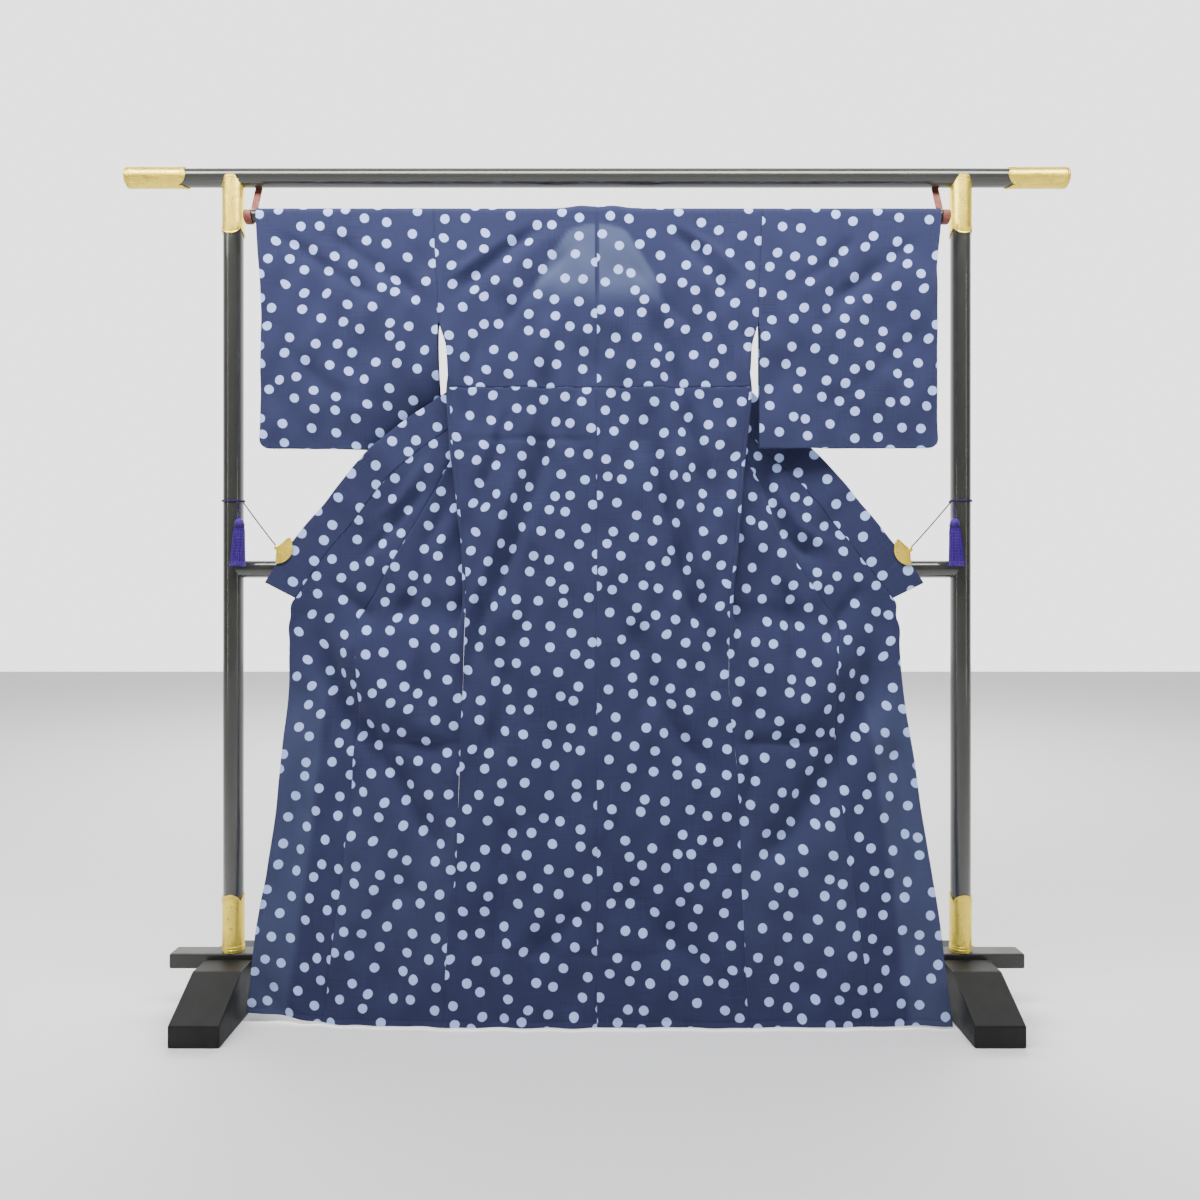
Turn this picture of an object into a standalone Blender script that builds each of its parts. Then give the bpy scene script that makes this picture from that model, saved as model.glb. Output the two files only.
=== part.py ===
"""Cotton yukata robe hung back-outwards on a lacquered kimono stand.

Units are metres, +Z is up, the robe's back faces -Y and its centre seam is at X = 0.
Each cut panel is a thin wall on one draped sheet. At every height the sheet is followed from the
centre back outwards: back panel, side seam, a fold tucked in behind the back, front panel, overlap
panel (okumi) and collar. A fold only turns the sheet's direction, so it keeps its length.
"""
import math

import bmesh
import bpy
import numpy as np
from mathutils import Matrix

# ---------------------------------------------------------------- driving dimensions
CLOTH = 0.0012             # cloth wall
COLLAR_CLOTH = 0.0030      # folded collar band, several layers thick
GAP = 0.0003               # between neighbours
SEAM = 0.0004              # between two panels on the sheet

ROD_Y, ROD_Z, ROD_R = -0.040, 1.560, 0.0125
ROD_HALF = 0.690
RAIL_Z, RAIL_R, RAIL_HALF = 1.652, 0.0185, 0.937
POST_X, POST_R = 0.727, 0.01975
CROSSBAR_Z, CROSSBAR_R = 0.870, 0.0175
CAP_LENGTH, CAP_R = 0.121, 0.0205
FERRULE_R = 0.0215
FERRULE_TOP_BOTTOM = 1.534
FERRULE_LOW_TOP = 0.224
SCALLOP = 0.016            # depth of the notches in a fitting's lobed edge
SCALLOPS = 3
SCALLOP_TURN = math.radians(30)    # brings a lobe to the front

FOOT_WIDTH, FOOT_HALF, FOOT_TOP, FOOT_TOE = 0.094, 0.194, 0.098, 0.040
FOOT_FLAT_HALF = 0.085
PLATE_HALF, PLATE_DEPTH, PLATE_LOW, PLATE_TOP = 0.120, 0.043, 0.078, 0.108

HOOK_X, HOOK_WIDTH, HOOK_THICK = 0.681, 0.014, 0.003

CLOTH_RADIUS = ROD_R + GAP + CLOTH / 2 + 0.0002    # cloth's middle, where it bends over the rod
HEM_Z = 0.004
SLEEVE_SEAM_Z = 1.352      # lower end of the seam that sews the sleeve to the body
SIDE_SEAM_Z = 1.203        # top of the side seam; the under-arm slit is above it
OKUMI_TIP_Z = 1.235
WAIST_SEAM_Z = 1.2215      # inner tuck sewn across the back, which parts it in two
COLLAR_TOP_Z = 1.5425
COLLAR_END_Z = 0.812
COLLAR_WIDTH_TOP, COLLAR_WIDTH_END = 0.055, 0.067
COLLAR_TURN_CLEAR = 0.0065  # wider seam where the band turns over
NAPE_HALF = 0.087
NAPE_RISE = 0.005

SIDE_TURN, SIDE_TURN_AT = 0.0080, 0.0085   # half length and place of the turn at the side seam
TUCK_TURN = 0.0140                         # half length of the turn at the tuck
TUCK_FADE = 0.030                          # a shorter tuck than this opens flat

# One row for each height. side: half width of the back; tuck: length of the fold behind the back;
# front, edge: cloth from the side seam to the okumi seam, and to the collar or the free front edge.
DRAPE_COLUMNS = ("z", "side", "tuck", "front", "edge", "edge_y")
DRAPE_LEFT = (
    (1.560, 0.318, 0.282, 0.240, 0.2280, -0.022),
    (1.539, 0.317, 0.269, 0.240, 0.2290, -0.022),
    (1.500, 0.316, 0.243, 0.240, 0.2305, -0.020),
    (1.469, 0.314, 0.221, 0.240, 0.2320, -0.018),
    (1.408, 0.310, 0.188, 0.240, 0.2350, -0.014),
    (1.352, 0.307, 0.185, 0.240, 0.2370, -0.012),
    (1.300, 0.293, 0.176, 0.240, 0.2385, -0.014),
    (1.255, 0.290, 0.172, 0.240, 0.2400, -0.020),
    (1.179, 0.285, 0.158, 0.240, 0.2800, -0.036),
    (1.100, 0.279, 0.122, 0.240, 0.3180, -0.046),
    (1.026, 0.269, 0.096, 0.240, 0.3540, -0.042),
    (0.960, 0.263, 0.074, 0.240, 0.3670, -0.038),
    (0.907, 0.256, 0.054, 0.240, 0.3800, -0.035),
    (0.808, 0.253, 0.026, 0.240, 0.3930, -0.035),
    (0.770, 0.254, 0.017, 0.2304, 0.3650, -0.037),
    (0.720, 0.2555, 0.008, 0.2120, 0.3473, -0.041),
    (0.640, 0.258, 0.000, 0.2065, 0.344, -0.048),
    (0.444, 0.264, 0.000, 0.2100, 0.353, -0.061),
    (0.318, 0.266, 0.000, 0.2166, 0.366, -0.068),
    (0.191, 0.281, 0.000, 0.2180, 0.372, -0.075),
    (0.000, 0.290, 0.000, 0.2325, 0.382, -0.082),
)
DRAPE_RIGHT = (
    (1.560, 0.3216, 0.285, 0.240, 0.2280, -0.022),
    (1.539, 0.3210, 0.272, 0.240, 0.2290, -0.022),
    (1.500, 0.3195, 0.246, 0.240, 0.2305, -0.020),
    (1.469, 0.3180, 0.224, 0.240, 0.2320, -0.018),
    (1.408, 0.3155, 0.192, 0.240, 0.2350, -0.014),
    (1.352, 0.3130, 0.187, 0.240, 0.2370, -0.012),
    (1.300, 0.3010, 0.182, 0.240, 0.2385, -0.012),
    (1.255, 0.2980, 0.178, 0.240, 0.2400, -0.012),
    (1.179, 0.2920, 0.155, 0.240, 0.2730, -0.015),
    (1.100, 0.2840, 0.123, 0.240, 0.2990, -0.022),
    (1.026, 0.2765, 0.094, 0.240, 0.3245, -0.031),
    (0.960, 0.2710, 0.080, 0.240, 0.3560, -0.035),
    (0.907, 0.2670, 0.0655, 0.240, 0.373, -0.035),
    (0.808, 0.2560, 0.0280, 0.240, 0.3840, -0.035),
    (0.770, 0.2550, 0.018, 0.2355, 0.3535, -0.038),
    (0.720, 0.2540, 0.008, 0.2148, 0.3388, -0.043),
    (0.640, 0.2530, 0.000, 0.2100, 0.3426, -0.052),
    (0.444, 0.2700, 0.000, 0.1970, 0.350, -0.073),
    (0.318, 0.2730, 0.000, 0.2080, 0.363, -0.085),
    (0.191, 0.2770, 0.000, 0.2190, 0.375, -0.096),
    (0.000, 0.2850, 0.000, 0.2340, 0.385, -0.110),
)
# Depth of the back, from the rod to the hem, which stands forward of it.
BACK_COLUMNS = ("z", "y")
BACK_DEPTH = (
    (1.560, ROD_Y - CLOTH_RADIUS),
    (1.400, -0.0560),
    (1.200, -0.0580),
    (1.000, -0.0620),
    (0.870, -0.0680),
    (0.600, -0.0850),
    (0.300, -0.1030),
    (0.000, -0.1170),
)
# Space between the two walls behind each other at the shoulder, and inside a sleeve.
HOLLOW_COLUMNS = ("z", "gap")
HOLLOW = (
    (1.560, 2 * CLOTH_RADIUS),
    (1.352, 0.0190),
    (1.200, 0.0140),
    (1.100, 0.0120),
)
# Sleeve outline, columns: inner_low (inner edge below the sleeve seam), outer_top, outer_low,
# outer_low_z and bottom.
SLEEVE_LEFT = (0.3095, 0.6636, 0.6530, 1.397, 1.1015)
SLEEVE_RIGHT = (0.3150, 0.6695, 0.6600, 1.440, 1.1025)
CUFF_LOW_Z = 1.335
SLEEVE_CORNER_R = 0.018
SLEEVE_CLOSE = 0.035       # width over which the walls close on the bottom seam and the outer seam

# Main folds, columns: line (x, z points down the cloth), depth (away from -Y) and width.
BODY_FOLDS = (
    (((-0.093, 1.556), (-0.188, 1.484), (-0.278, 1.400)), 0.010, 0.016),
    (((-0.060, 1.545), (-0.140, 1.470), (-0.215, 1.385)), -0.005, 0.022),
    (((0.138, 1.549), (0.200, 1.473), (0.268, 1.391)), 0.007, 0.015),
    (((-0.087, 1.303), (-0.110, 1.079), (-0.168, 0.905), (-0.229, 0.760), (-0.252, 0.607)), 0.013, 0.018),
    (((-0.140, 1.200), (-0.175, 1.000), (-0.222, 0.860)), -0.006, 0.022),
    (((-0.167, 0.693), (-0.189, 0.579), (-0.204, 0.503)), 0.008, 0.018),
    (((0.103, 1.400), (0.146, 1.254), (0.196, 1.089), (0.222, 0.963)), 0.012, 0.017),
    (((0.103, 1.157), (0.141, 0.982), (0.185, 0.808), (0.247, 0.636)), 0.013, 0.018),
    (((0.150, 1.130), (0.185, 0.960), (0.225, 0.800)), -0.006, 0.018),
    (((0.064, 0.789), (0.111, 0.617), (0.180, 0.520), (0.253, 0.456)), 0.012, 0.024),
    (((-0.566, 0.770), (-0.512, 0.655), (-0.468, 0.575), (-0.384, 0.462), (-0.274, 0.282)), 0.019, 0.027),
    (((-0.500, 0.760), (-0.430, 0.640), (-0.340, 0.560)), -0.011, 0.040),
    (((-0.468, 0.569), (-0.376, 0.531), (-0.271, 0.518)), 0.008, 0.020),
    (((0.562, 0.750), (0.518, 0.617), (0.448, 0.484), (0.366, 0.362), (0.286, 0.269)), 0.020, 0.029),
    (((0.500, 0.740), (0.420, 0.610), (0.340, 0.560)), -0.012, 0.040),
    (((0.263, 0.531), (0.368, 0.537), (0.454, 0.556)), 0.006, 0.018),
    (((-0.440, 0.400), (-0.470, 0.200), (-0.500, 0.030)), -0.010, 0.045),
    (((-0.360, 0.300), (-0.390, 0.150), (-0.400, 0.030)), 0.007, 0.040),
    (((0.440, 0.400), (0.470, 0.200), (0.490, 0.030)), -0.010, 0.045),
    (((0.350, 0.250), (0.380, 0.120), (0.390, 0.030)), 0.007, 0.040),
    (((-0.017, 0.232), (-0.070, 0.176), (-0.145, 0.126)), 0.008, 0.026),
    (((0.044, 0.278), (0.119, 0.176), (0.209, 0.089)), 0.010, 0.028),
    (((0.320, 1.060), (0.373, 0.934), (0.440, 0.876)), 0.010, 0.015),
    (((0.340, 1.030), (0.400, 0.950), (0.470, 0.905)), -0.006, 0.014),
    (((-0.285, 1.010), (-0.330, 0.925), (-0.353, 0.825), (-0.402, 0.747)), 0.009, 0.018),
)
SLEEVE_FOLDS = (
    (((-0.200, 1.240), (-0.455, 1.045)), 0.050, 0.060),      # behind the front drawn out past it
    (((-0.635, 1.530), (-0.520, 1.450), (-0.400, 1.380)), 0.006, 0.014),
    (((-0.530, 1.530), (-0.430, 1.455), (-0.330, 1.390)), 0.005, 0.013),
    (((-0.330, 1.330), (-0.370, 1.200), (-0.480, 1.120)), 0.006, 0.040),
    (((0.630, 1.520), (0.540, 1.440), (0.430, 1.380)), 0.006, 0.014),
    (((0.510, 1.520), (0.450, 1.460), (0.385, 1.415)), 0.005, 0.012),
    (((0.340, 1.310), (0.400, 1.220), (0.500, 1.120)), 0.005, 0.040),
)
FOLD_TAPER = 0.22          # share of a fold's length over which each end dies away
FOLD_START_Z = 1.553       # no fold reaches the cloth on the rod
FOLD_START_RUN = 0.050

CORNER_LIFT = {-1: 0.014, 1: 0.001}        # the hem's front corners, left and right
CORNER_LIFT_FROM, CORNER_LIFT_RUN, CORNER_LIFT_HEIGHT = 0.50, 0.175, 0.45

ROWS_UPPER, ROWS_LOWER, ROD_ROWS = 19, 14, 3
BACK_STEPS, LEG_STEPS, OKUMI_STEPS, COLLAR_STEPS = 11, 4, 4, 2
SECTION_STEP = 0.0005
SECTION_LENGTH = 0.60

CLIP_R, CLIP_LEAF, CLIP_CLEAR = 0.033, 0.0016, 0.0005
CLIP_SWEEP = math.radians(137)
CLIP_OFFSET = 0.0146       # pivot to the collar's edge
CLIP_KNUCKLE = 0.0075      # solid part round the pivot, before the slot for the cloth
CLIP_KNOB_R = 0.0055
CLIP_ALONG = 0.072         # pivot's distance up the collar's edge from its end corner
CORD_R = 0.00125
WRAP_Z = 1.0055
WRAP_TURNS = 2
TASSEL_HEAD_TOP, TASSEL_HEAD, TASSEL_BOTTOM = 0.968, 0.017, 0.874
TASSEL_TOP_R, TASSEL_BOTTOM_R, STRAND_R = 0.0104, 0.0150, 0.0011
TASSEL_OUT, TASSEL_TOP_Y, TASSEL_BOTTOM_Y = 0.0215, -0.0265, -0.0375    # from the post's axis
LOOP_OUT, LOOP_Y, LOOP_RISE = 0.0184, -0.0152, 0.0355
TASSEL_RINGS = 3


# ---------------------------------------------------------------- scene and materials
def clear_scene():
    for obj in list(bpy.data.objects):
        bpy.data.objects.remove(obj, do_unlink=True)


def new_collection(name):
    collection = bpy.data.collections.new(name)
    bpy.context.scene.collection.children.link(collection)
    return collection


def principled(name, color, roughness, metallic=0.0):
    material = bpy.data.materials.new(name)
    material.use_nodes = True
    shader = material.node_tree.nodes["Principled BSDF"]
    shader.inputs["Base Color"].default_value = (*color, 1.0)
    shader.inputs["Roughness"].default_value = roughness
    shader.inputs["Metallic"].default_value = metallic
    material.diffuse_color = (*color, 1.0)
    return material


def add_object(name, mesh, material, collection):
    obj = bpy.data.objects.new(name, mesh)
    collection.objects.link(obj)
    mesh.materials.clear()
    mesh.materials.append(material)
    return obj


def adopt(obj, name, material, collection):
    """Name an object made by an operator and move it to its collection."""
    obj.name = name
    obj.data.name = name
    for old in list(obj.users_collection):
        old.objects.unlink(obj)
    collection.objects.link(obj)
    obj.data.materials.clear()
    obj.data.materials.append(material)
    return obj


# ---------------------------------------------------------------- small mathematics
def smoothstep(value):
    t = np.clip(value, 0.0, 1.0)
    return t * t * (3.0 - 2.0 * t)


def table_column(rows, columns, name):
    at = columns.index(name)
    heights = np.array([row[0] for row in rows])[::-1]
    values = np.array([row[at] for row in rows])[::-1]
    return heights, values


def smooth_lookup(rows, columns, name, z):
    """Value of a column at height z, on a smooth curve through the rows that never overshoots."""
    heights, values = table_column(rows, columns, name)
    z = np.clip(z, heights[0], heights[-1])
    slopes = np.diff(values) / np.diff(heights)
    tangents = np.zeros_like(values)
    same_way = slopes[:-1] * slopes[1:] > 0
    joined = slopes[:-1] + slopes[1:]
    tangents[1:-1] = np.where(same_way, 2 * slopes[:-1] * slopes[1:] / np.where(same_way, joined, 1), 0)
    tangents[0], tangents[-1] = slopes[0], slopes[-1]
    i = np.clip(np.searchsorted(heights, z) - 1, 0, len(heights) - 2)
    span = heights[i + 1] - heights[i]
    t = (z - heights[i]) / span
    return ((2 * t ** 3 - 3 * t ** 2 + 1) * values[i] + (t ** 3 - 2 * t ** 2 + t) * span * tangents[i]
            + (3 * t ** 2 - 2 * t ** 3) * values[i + 1] + (t ** 3 - t ** 2) * span * tangents[i + 1])


def back_depth(z):
    return smooth_lookup(BACK_DEPTH, BACK_COLUMNS, "y", z)


def hollow(z):
    return smooth_lookup(HOLLOW, HOLLOW_COLUMNS, "gap", z)


def fold_depth(folds, x, z):
    """Depth of all folds at the points x, z: each is a soft trough or ridge along its line."""
    total = np.zeros_like(x)
    for line, depth, width in folds:
        points = np.array(line)
        steps = np.linalg.norm(np.diff(points, axis=0), axis=1)
        starts = np.concatenate(([0.0], np.cumsum(steps)))
        nearest = np.full(x.shape, np.inf)
        along = np.zeros(x.shape)
        for i, step in enumerate(steps):
            direction = (points[i + 1] - points[i]) / step
            run = np.clip((x - points[i][0]) * direction[0] + (z - points[i][1]) * direction[1], 0, step)
            away = np.hypot(x - points[i][0] - run * direction[0], z - points[i][1] - run * direction[1])
            closer = away < nearest
            nearest = np.where(closer, away, nearest)
            along = np.where(closer, (starts[i] + run) / starts[-1], along)
        ends = smoothstep(along / FOLD_TAPER) * smoothstep((1 - along) / FOLD_TAPER)
        total += depth * (0.15 + 0.85 * ends) * np.exp(-(nearest / width) ** 2)
    return total * smoothstep((FOLD_START_Z - z) / FOLD_START_RUN)


# ---------------------------------------------------------------- the draped sheet
def sheet_rows():
    upper = np.linspace(ROD_Z, COLLAR_END_Z, ROWS_UPPER)
    lower = np.linspace(COLLAR_END_Z, HEM_Z, ROWS_LOWER)
    return np.concatenate((upper, lower[1:]))


def seam_row():
    """Number of the row that the waist seam takes the place of."""
    return int(np.argmin(np.abs(sheet_rows() - WAIST_SEAM_Z)))


def drape_value(side, name, z):
    rows = DRAPE_LEFT if side < 0 else DRAPE_RIGHT
    return smooth_lookup(rows, DRAPE_COLUMNS, name, z)


def front_section(side, z):
    """Follow the sheet at height z from the side seam: lengths, distances from the centre, depths
    and direction angles. Angle 0 runs outwards and pi runs inwards, behind the back."""
    s = np.arange(0.0, SECTION_LENGTH, SECTION_STEP)
    open_side = smoothstep((z - SIDE_SEAM_Z) / (SLEEVE_SEAM_Z - SIDE_SEAM_Z))
    turn_at = SIDE_TURN_AT * (1 - open_side) - 3 * SIDE_TURN * open_side
    tuck = drape_value(side, "tuck", z)
    bend_in = smoothstep((s - turn_at + SIDE_TURN) / (2 * SIDE_TURN))
    bend_out = smoothstep((s - turn_at - tuck + TUCK_TURN) / (2 * TUCK_TURN))
    strength = smoothstep(tuck / TUCK_FADE)
    angle = math.pi * strength * (bend_in - bend_out)
    start = drape_value(side, "side", z)
    out = start + np.concatenate(([0.0], np.cumsum(np.cos(angle[:-1])))) * SECTION_STEP
    step_back = np.concatenate(([0.0], np.cumsum(np.sin(angle[:-1])))) * SECTION_STEP
    step_back += open_side * hollow(z)
    edge = start + drape_value(side, "edge", z) - 2 * tuck * strength
    share = smoothstep((out - start) / max(edge - start, 0.05)) * smoothstep((1.45 - z) / 0.20)
    y = (back_depth(z) + step_back) * (1 - share) + drape_value(side, "edge_y", z) * share
    return s, out, y, angle


def corner_lift(side, out, z):
    reach = smoothstep((out - CORNER_LIFT_FROM) / CORNER_LIFT_RUN)
    return CORNER_LIFT[side] * reach * np.clip(1 - z / CORNER_LIFT_HEIGHT, 0, 1) ** 2


def place(side, out, y, z):
    """World points of the sheet, with its folds."""
    x = side * out
    z = np.broadcast_to(z, out.shape)
    y = y + fold_depth(BODY_FOLDS, x, z)
    return np.stack((x, y, z + corner_lift(side, out, z)), axis=-1)


def front_points(side, z, lengths):
    """World points at given cloth lengths from the side seam."""
    s, out, y, _ = front_section(side, z)
    return place(side, np.interp(lengths, s, out), np.interp(lengths, s, y), z)


def front_normals(side, z, lengths):
    """Directions square to the sheet; panels that meet at a seam get the same ones there."""
    step = 0.004
    down = front_points(side, z - step, lengths) - front_points(side, z + step, lengths)
    across = front_points(side, z, lengths + step) - front_points(side, z, lengths - step)
    normals = np.cross(down, across)
    return normals / np.linalg.norm(normals, axis=-1, keepdims=True)


def front_lengths(side, z):
    """Cloth lengths of the front panel's columns, close together at its two turns."""
    end = min(drape_value(side, "edge", z), drape_value(side, "front", z)) - SEAM / 2
    tuck = np.clip(drape_value(side, "tuck", z), 0.052, end - TUCK_TURN - 0.030) + SIDE_TURN_AT
    seam = SIDE_TURN_AT + SIDE_TURN * np.array((-0.5, 0.0, 0.5, 1.0))
    bend = tuck + TUCK_TURN * np.array((-1.0, -0.5, 0.0, 0.5, 1.0))
    leg = np.linspace(bend[-1], end, LEG_STEPS + 1)[1:]
    middle = (seam[-1] + bend[0]) / 2
    return np.concatenate(([GAP], seam, [middle], bend, leg))


def rod_arc(points, start_angle, end_angle, rise, flat_radius=CLOTH_RADIUS):
    """Rows of cloth bent over the rod, above the row of points level with its middle. The first
    one lies past the end of the wall, and only gives the end its true direction."""
    rows = []
    angles = np.linspace(start_angle, end_angle, ROD_ROWS + 1)[:-1]
    for angle in np.concatenate(([2 * angles[0] - angles[1]], angles)):
        radius = flat_radius + rise * math.sin(angle) ** 2
        row = points.copy()
        row[:, 1] = ROD_Y + radius * math.cos(angle)
        row[:, 2] = ROD_Z + radius * math.sin(angle)
        rows.append(row)
    return rows


def nape_rise(x):
    """The collar under the cloth lifts it in two low humps, left and right of the centre seam."""
    return NAPE_RISE * (np.exp(-((np.abs(x) - 0.030) / 0.026) ** 2) + 0.35 * np.exp(-(x / 0.012) ** 2))


def back_grid(side):
    """Rows of the back, with one on each side of the gap at the waist seam."""
    levels, place_of_seam = sheet_rows(), seam_row()
    seam = (WAIST_SEAM_Z + GAP / 2, WAIST_SEAM_Z - GAP / 2)
    rows = []
    for z in np.concatenate((levels[:place_of_seam], seam, levels[place_of_seam + 1:])):
        out = np.linspace(0.0, drape_value(side, "side", z), BACK_STEPS + 1)
        y = np.full(out.shape, back_depth(z))
        rows.append(place(side, out, y, z))
    top = rod_arc(rows[0], math.pi / 2 + GAP / (2 * CLOTH_RADIUS), math.pi, nape_rise(rows[0][:, 0]))
    return np.array(top + rows)


def front_grid(side):
    """Points and directions of the front panel, without the row that only gives directions."""
    rows = []
    normals = []
    for z in sheet_rows():
        rows.append(front_points(side, z, front_lengths(side, z)))
        normals.append(front_normals(side, z, front_lengths(side, z)))
    top = rod_arc(rows[0], math.pi / 2 - GAP / (2 * CLOTH_RADIUS), 0.0, np.zeros(len(rows[0])))
    points = np.array(top + rows)
    over_rod = grid_normals(points)[:len(top)]
    return points[1:], np.concatenate((over_rod, normals))[1:]


def okumi_grid(side):
    rows = []
    normals = []
    levels = sheet_rows()
    for z in levels[levels < OKUMI_TIP_Z]:
        seam = drape_value(side, "front", z) + SEAM / 2
        lengths = np.linspace(seam, drape_value(side, "edge", z), OKUMI_STEPS + 1)
        rows.append(front_points(side, z, lengths))
        normals.append(front_normals(side, z, lengths))
    return np.array(rows), np.array(normals)


def collar_frame(side, z):
    """Seam point of the collar at height z, and the direction across the band to its free edge."""
    step = 0.020
    seam = []
    for level in (z + step, z, z - step):
        s, out, y, angle = front_section(side, level)
        length = drape_value(side, "edge", level)
        seam.append((np.interp(length, s, out), np.interp(length, s, y), np.interp(length, s, angle)))
    slope = max(math.atan2(seam[2][0] - seam[0][0], 2 * step), 0.0)
    turn = seam[1][2]
    across = np.array((side * math.cos(turn) * math.cos(slope), math.sin(turn),
                       math.cos(turn) * math.sin(slope)))
    base = place(side, np.array([seam[1][0]]), np.array([seam[1][1]]), z)[0]
    return base, across


def collar_grid(side):
    levels = sheet_rows()
    levels = levels[(levels < COLLAR_TOP_Z - 0.01) & (levels > COLLAR_END_Z + 0.001)]
    rows = []
    for z in np.concatenate(([COLLAR_TOP_Z], levels, [COLLAR_END_Z])):
        base, across = collar_frame(side, z)
        share = (COLLAR_TOP_Z - z) / (COLLAR_TOP_Z - COLLAR_END_Z)
        width = COLLAR_WIDTH_TOP + (COLLAR_WIDTH_END - COLLAR_WIDTH_TOP) * share
        seam = 3 * GAP + COLLAR_TURN_CLEAR * abs(across[1])
        reach = np.linspace(seam, width, COLLAR_STEPS + 1)
        rows.append(base + across * reach[:, None])
    return np.array(rows)


def nape_grid():
    """Collar at the neck, over the rod and down its far side."""
    x = np.linspace(-NAPE_HALF, NAPE_HALF, 13)
    radius = ROD_R + GAP + COLLAR_CLOTH / 2 + 0.0002
    level = np.stack((x, np.full(x.shape, ROD_Y + radius), np.full(x.shape, ROD_Z)), axis=-1)
    low = level.copy()
    low[:, 2] = COLLAR_TOP_Z + 2 * GAP
    first = math.pi / 2 - GAP / CLOTH_RADIUS
    return np.array(rod_arc(level, first, 0.0, nape_rise(x), radius) + [level, low])


def sleeve_grid(side, front):
    """One wall of a sleeve; both walls close on each other at the bottom and below the cuff."""
    inner_low, outer_top, outer_low, outer_low_z, bottom = SLEEVE_LEFT if side < 0 else SLEEVE_RIGHT
    corner = bottom + SLEEVE_CORNER_R * np.array((1.0, 0.3, 0.0))
    upper = np.linspace(ROD_Z, SLEEVE_SEAM_Z, 6)
    lower = np.linspace(SLEEVE_SEAM_Z, bottom + 0.04, 5)[1:]
    levels = np.concatenate((upper, lower, corner))
    rows = []
    for z in levels:
        inner = drape_value(side, "side", z) + GAP if z >= SLEEVE_SEAM_Z else inner_low
        outer = outer_low + (outer_top - outer_low) * smoothstep((z - outer_low_z) / (ROD_Z - outer_low_z))
        below = max(SLEEVE_CORNER_R - (z - bottom), 0.0)
        outer -= SLEEVE_CORNER_R - math.sqrt(max(SLEEVE_CORNER_R ** 2 - below ** 2, 0.0))
        out = inner + (outer - inner) * np.array((0.0, 0.18, 0.36, 0.54, 0.72, 0.86, 0.95, 1.0))
        y = np.full(out.shape, back_depth(z))
        if front:
            shut = smoothstep((z - bottom) / SLEEVE_CLOSE)
            if z < CUFF_LOW_Z:
                shut = shut * smoothstep((outer - out) / SLEEVE_CLOSE)
            y = y + CLOTH + GAP + (hollow(z) - CLOTH - GAP) * shut
        x = side * out
        y = y + fold_depth(SLEEVE_FOLDS, x, np.full(x.shape, z))
        rows.append(np.stack((x, y, np.full(x.shape, z)), axis=-1))
    end = math.pi / 2 + (-1 if front else 1) * GAP / (2 * CLOTH_RADIUS)
    top = rod_arc(rows[0], end, 0.0 if front else math.pi, np.zeros(len(rows[0])))
    return np.array(top + rows)


def grid_normals(points):
    down = np.gradient(points, axis=0)
    across = np.gradient(points, axis=1)
    normals = np.cross(down, across)
    return normals / np.linalg.norm(normals, axis=-1, keepdims=True)


def part_seam(points, first, last):
    """Draw the first and last columns in from the seams by these distances."""
    points = points.copy()
    for column, neighbour, distance in ((0, 1, first), (-1, -2, last)):
        direction = points[:, neighbour] - points[:, column]
        direction /= np.linalg.norm(direction, axis=-1, keepdims=True)
        points[:, column] += direction * distance
    return points


def wall_over_rod(name, points, first, last, thickness, material, collection):
    """Wall of a grid whose first row only gives directions, with its side columns at seams."""
    normals = grid_normals(points)[1:]
    wall(name, part_seam(points[1:], first, last), normals, thickness, material, collection)


def wall(name, points, normals, thickness, material, collection):
    """Closed wall around a grid of middle points. Neighbouring panels share their seam's normals,
    so the gap between them stays parallel, which a Solidify on each one would not keep."""
    rows, columns = points.shape[:2]
    outer = points + normals * thickness / 2
    inner = points - normals * thickness / 2
    verts = np.concatenate((outer.reshape(-1, 3), inner.reshape(-1, 3)))
    shift = rows * columns
    faces = []
    for r in range(rows - 1):
        for c in range(columns - 1):
            a = r * columns + c
            b, d = a + 1, a + columns
            faces.append((a, d, d + 1, b))
            faces.append((a + shift, b + shift, d + 1 + shift, d + shift))
    ring = [c for c in range(columns)]
    ring += [r * columns + columns - 1 for r in range(1, rows)]
    ring += [(rows - 1) * columns + c for c in range(columns - 2, -1, -1)]
    ring += [r * columns for r in range(rows - 2, 0, -1)]
    for a, b in zip(ring, ring[1:] + ring[:1]):
        faces.append((a, b, b + shift, a + shift))
    mesh = bpy.data.meshes.new(name)
    mesh.from_pydata(verts.tolist(), [], faces)
    face_outwards(mesh)
    mesh.shade_smooth()
    return add_object(name, mesh, material, collection)


def face_outwards(mesh):
    work = bmesh.new()
    work.from_mesh(mesh)
    bmesh.ops.recalc_face_normals(work, faces=work.faces)
    work.to_mesh(mesh)
    work.free()


def build_back(side, word, cloth, collection):
    """Back panel as two walls, above and below the waist seam."""
    points = back_grid(side)
    normals = grid_normals(points)[1:]
    points = part_seam(points[1:], GAP / 2, 0.0)
    split = ROD_ROWS + seam_row() + 1
    for place_word, rows in (("upper", slice(None, split)), ("lower", slice(split, None))):
        wall(f"back_{word}_{place_word}", points[rows], normals[rows], CLOTH, cloth, collection)


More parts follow.
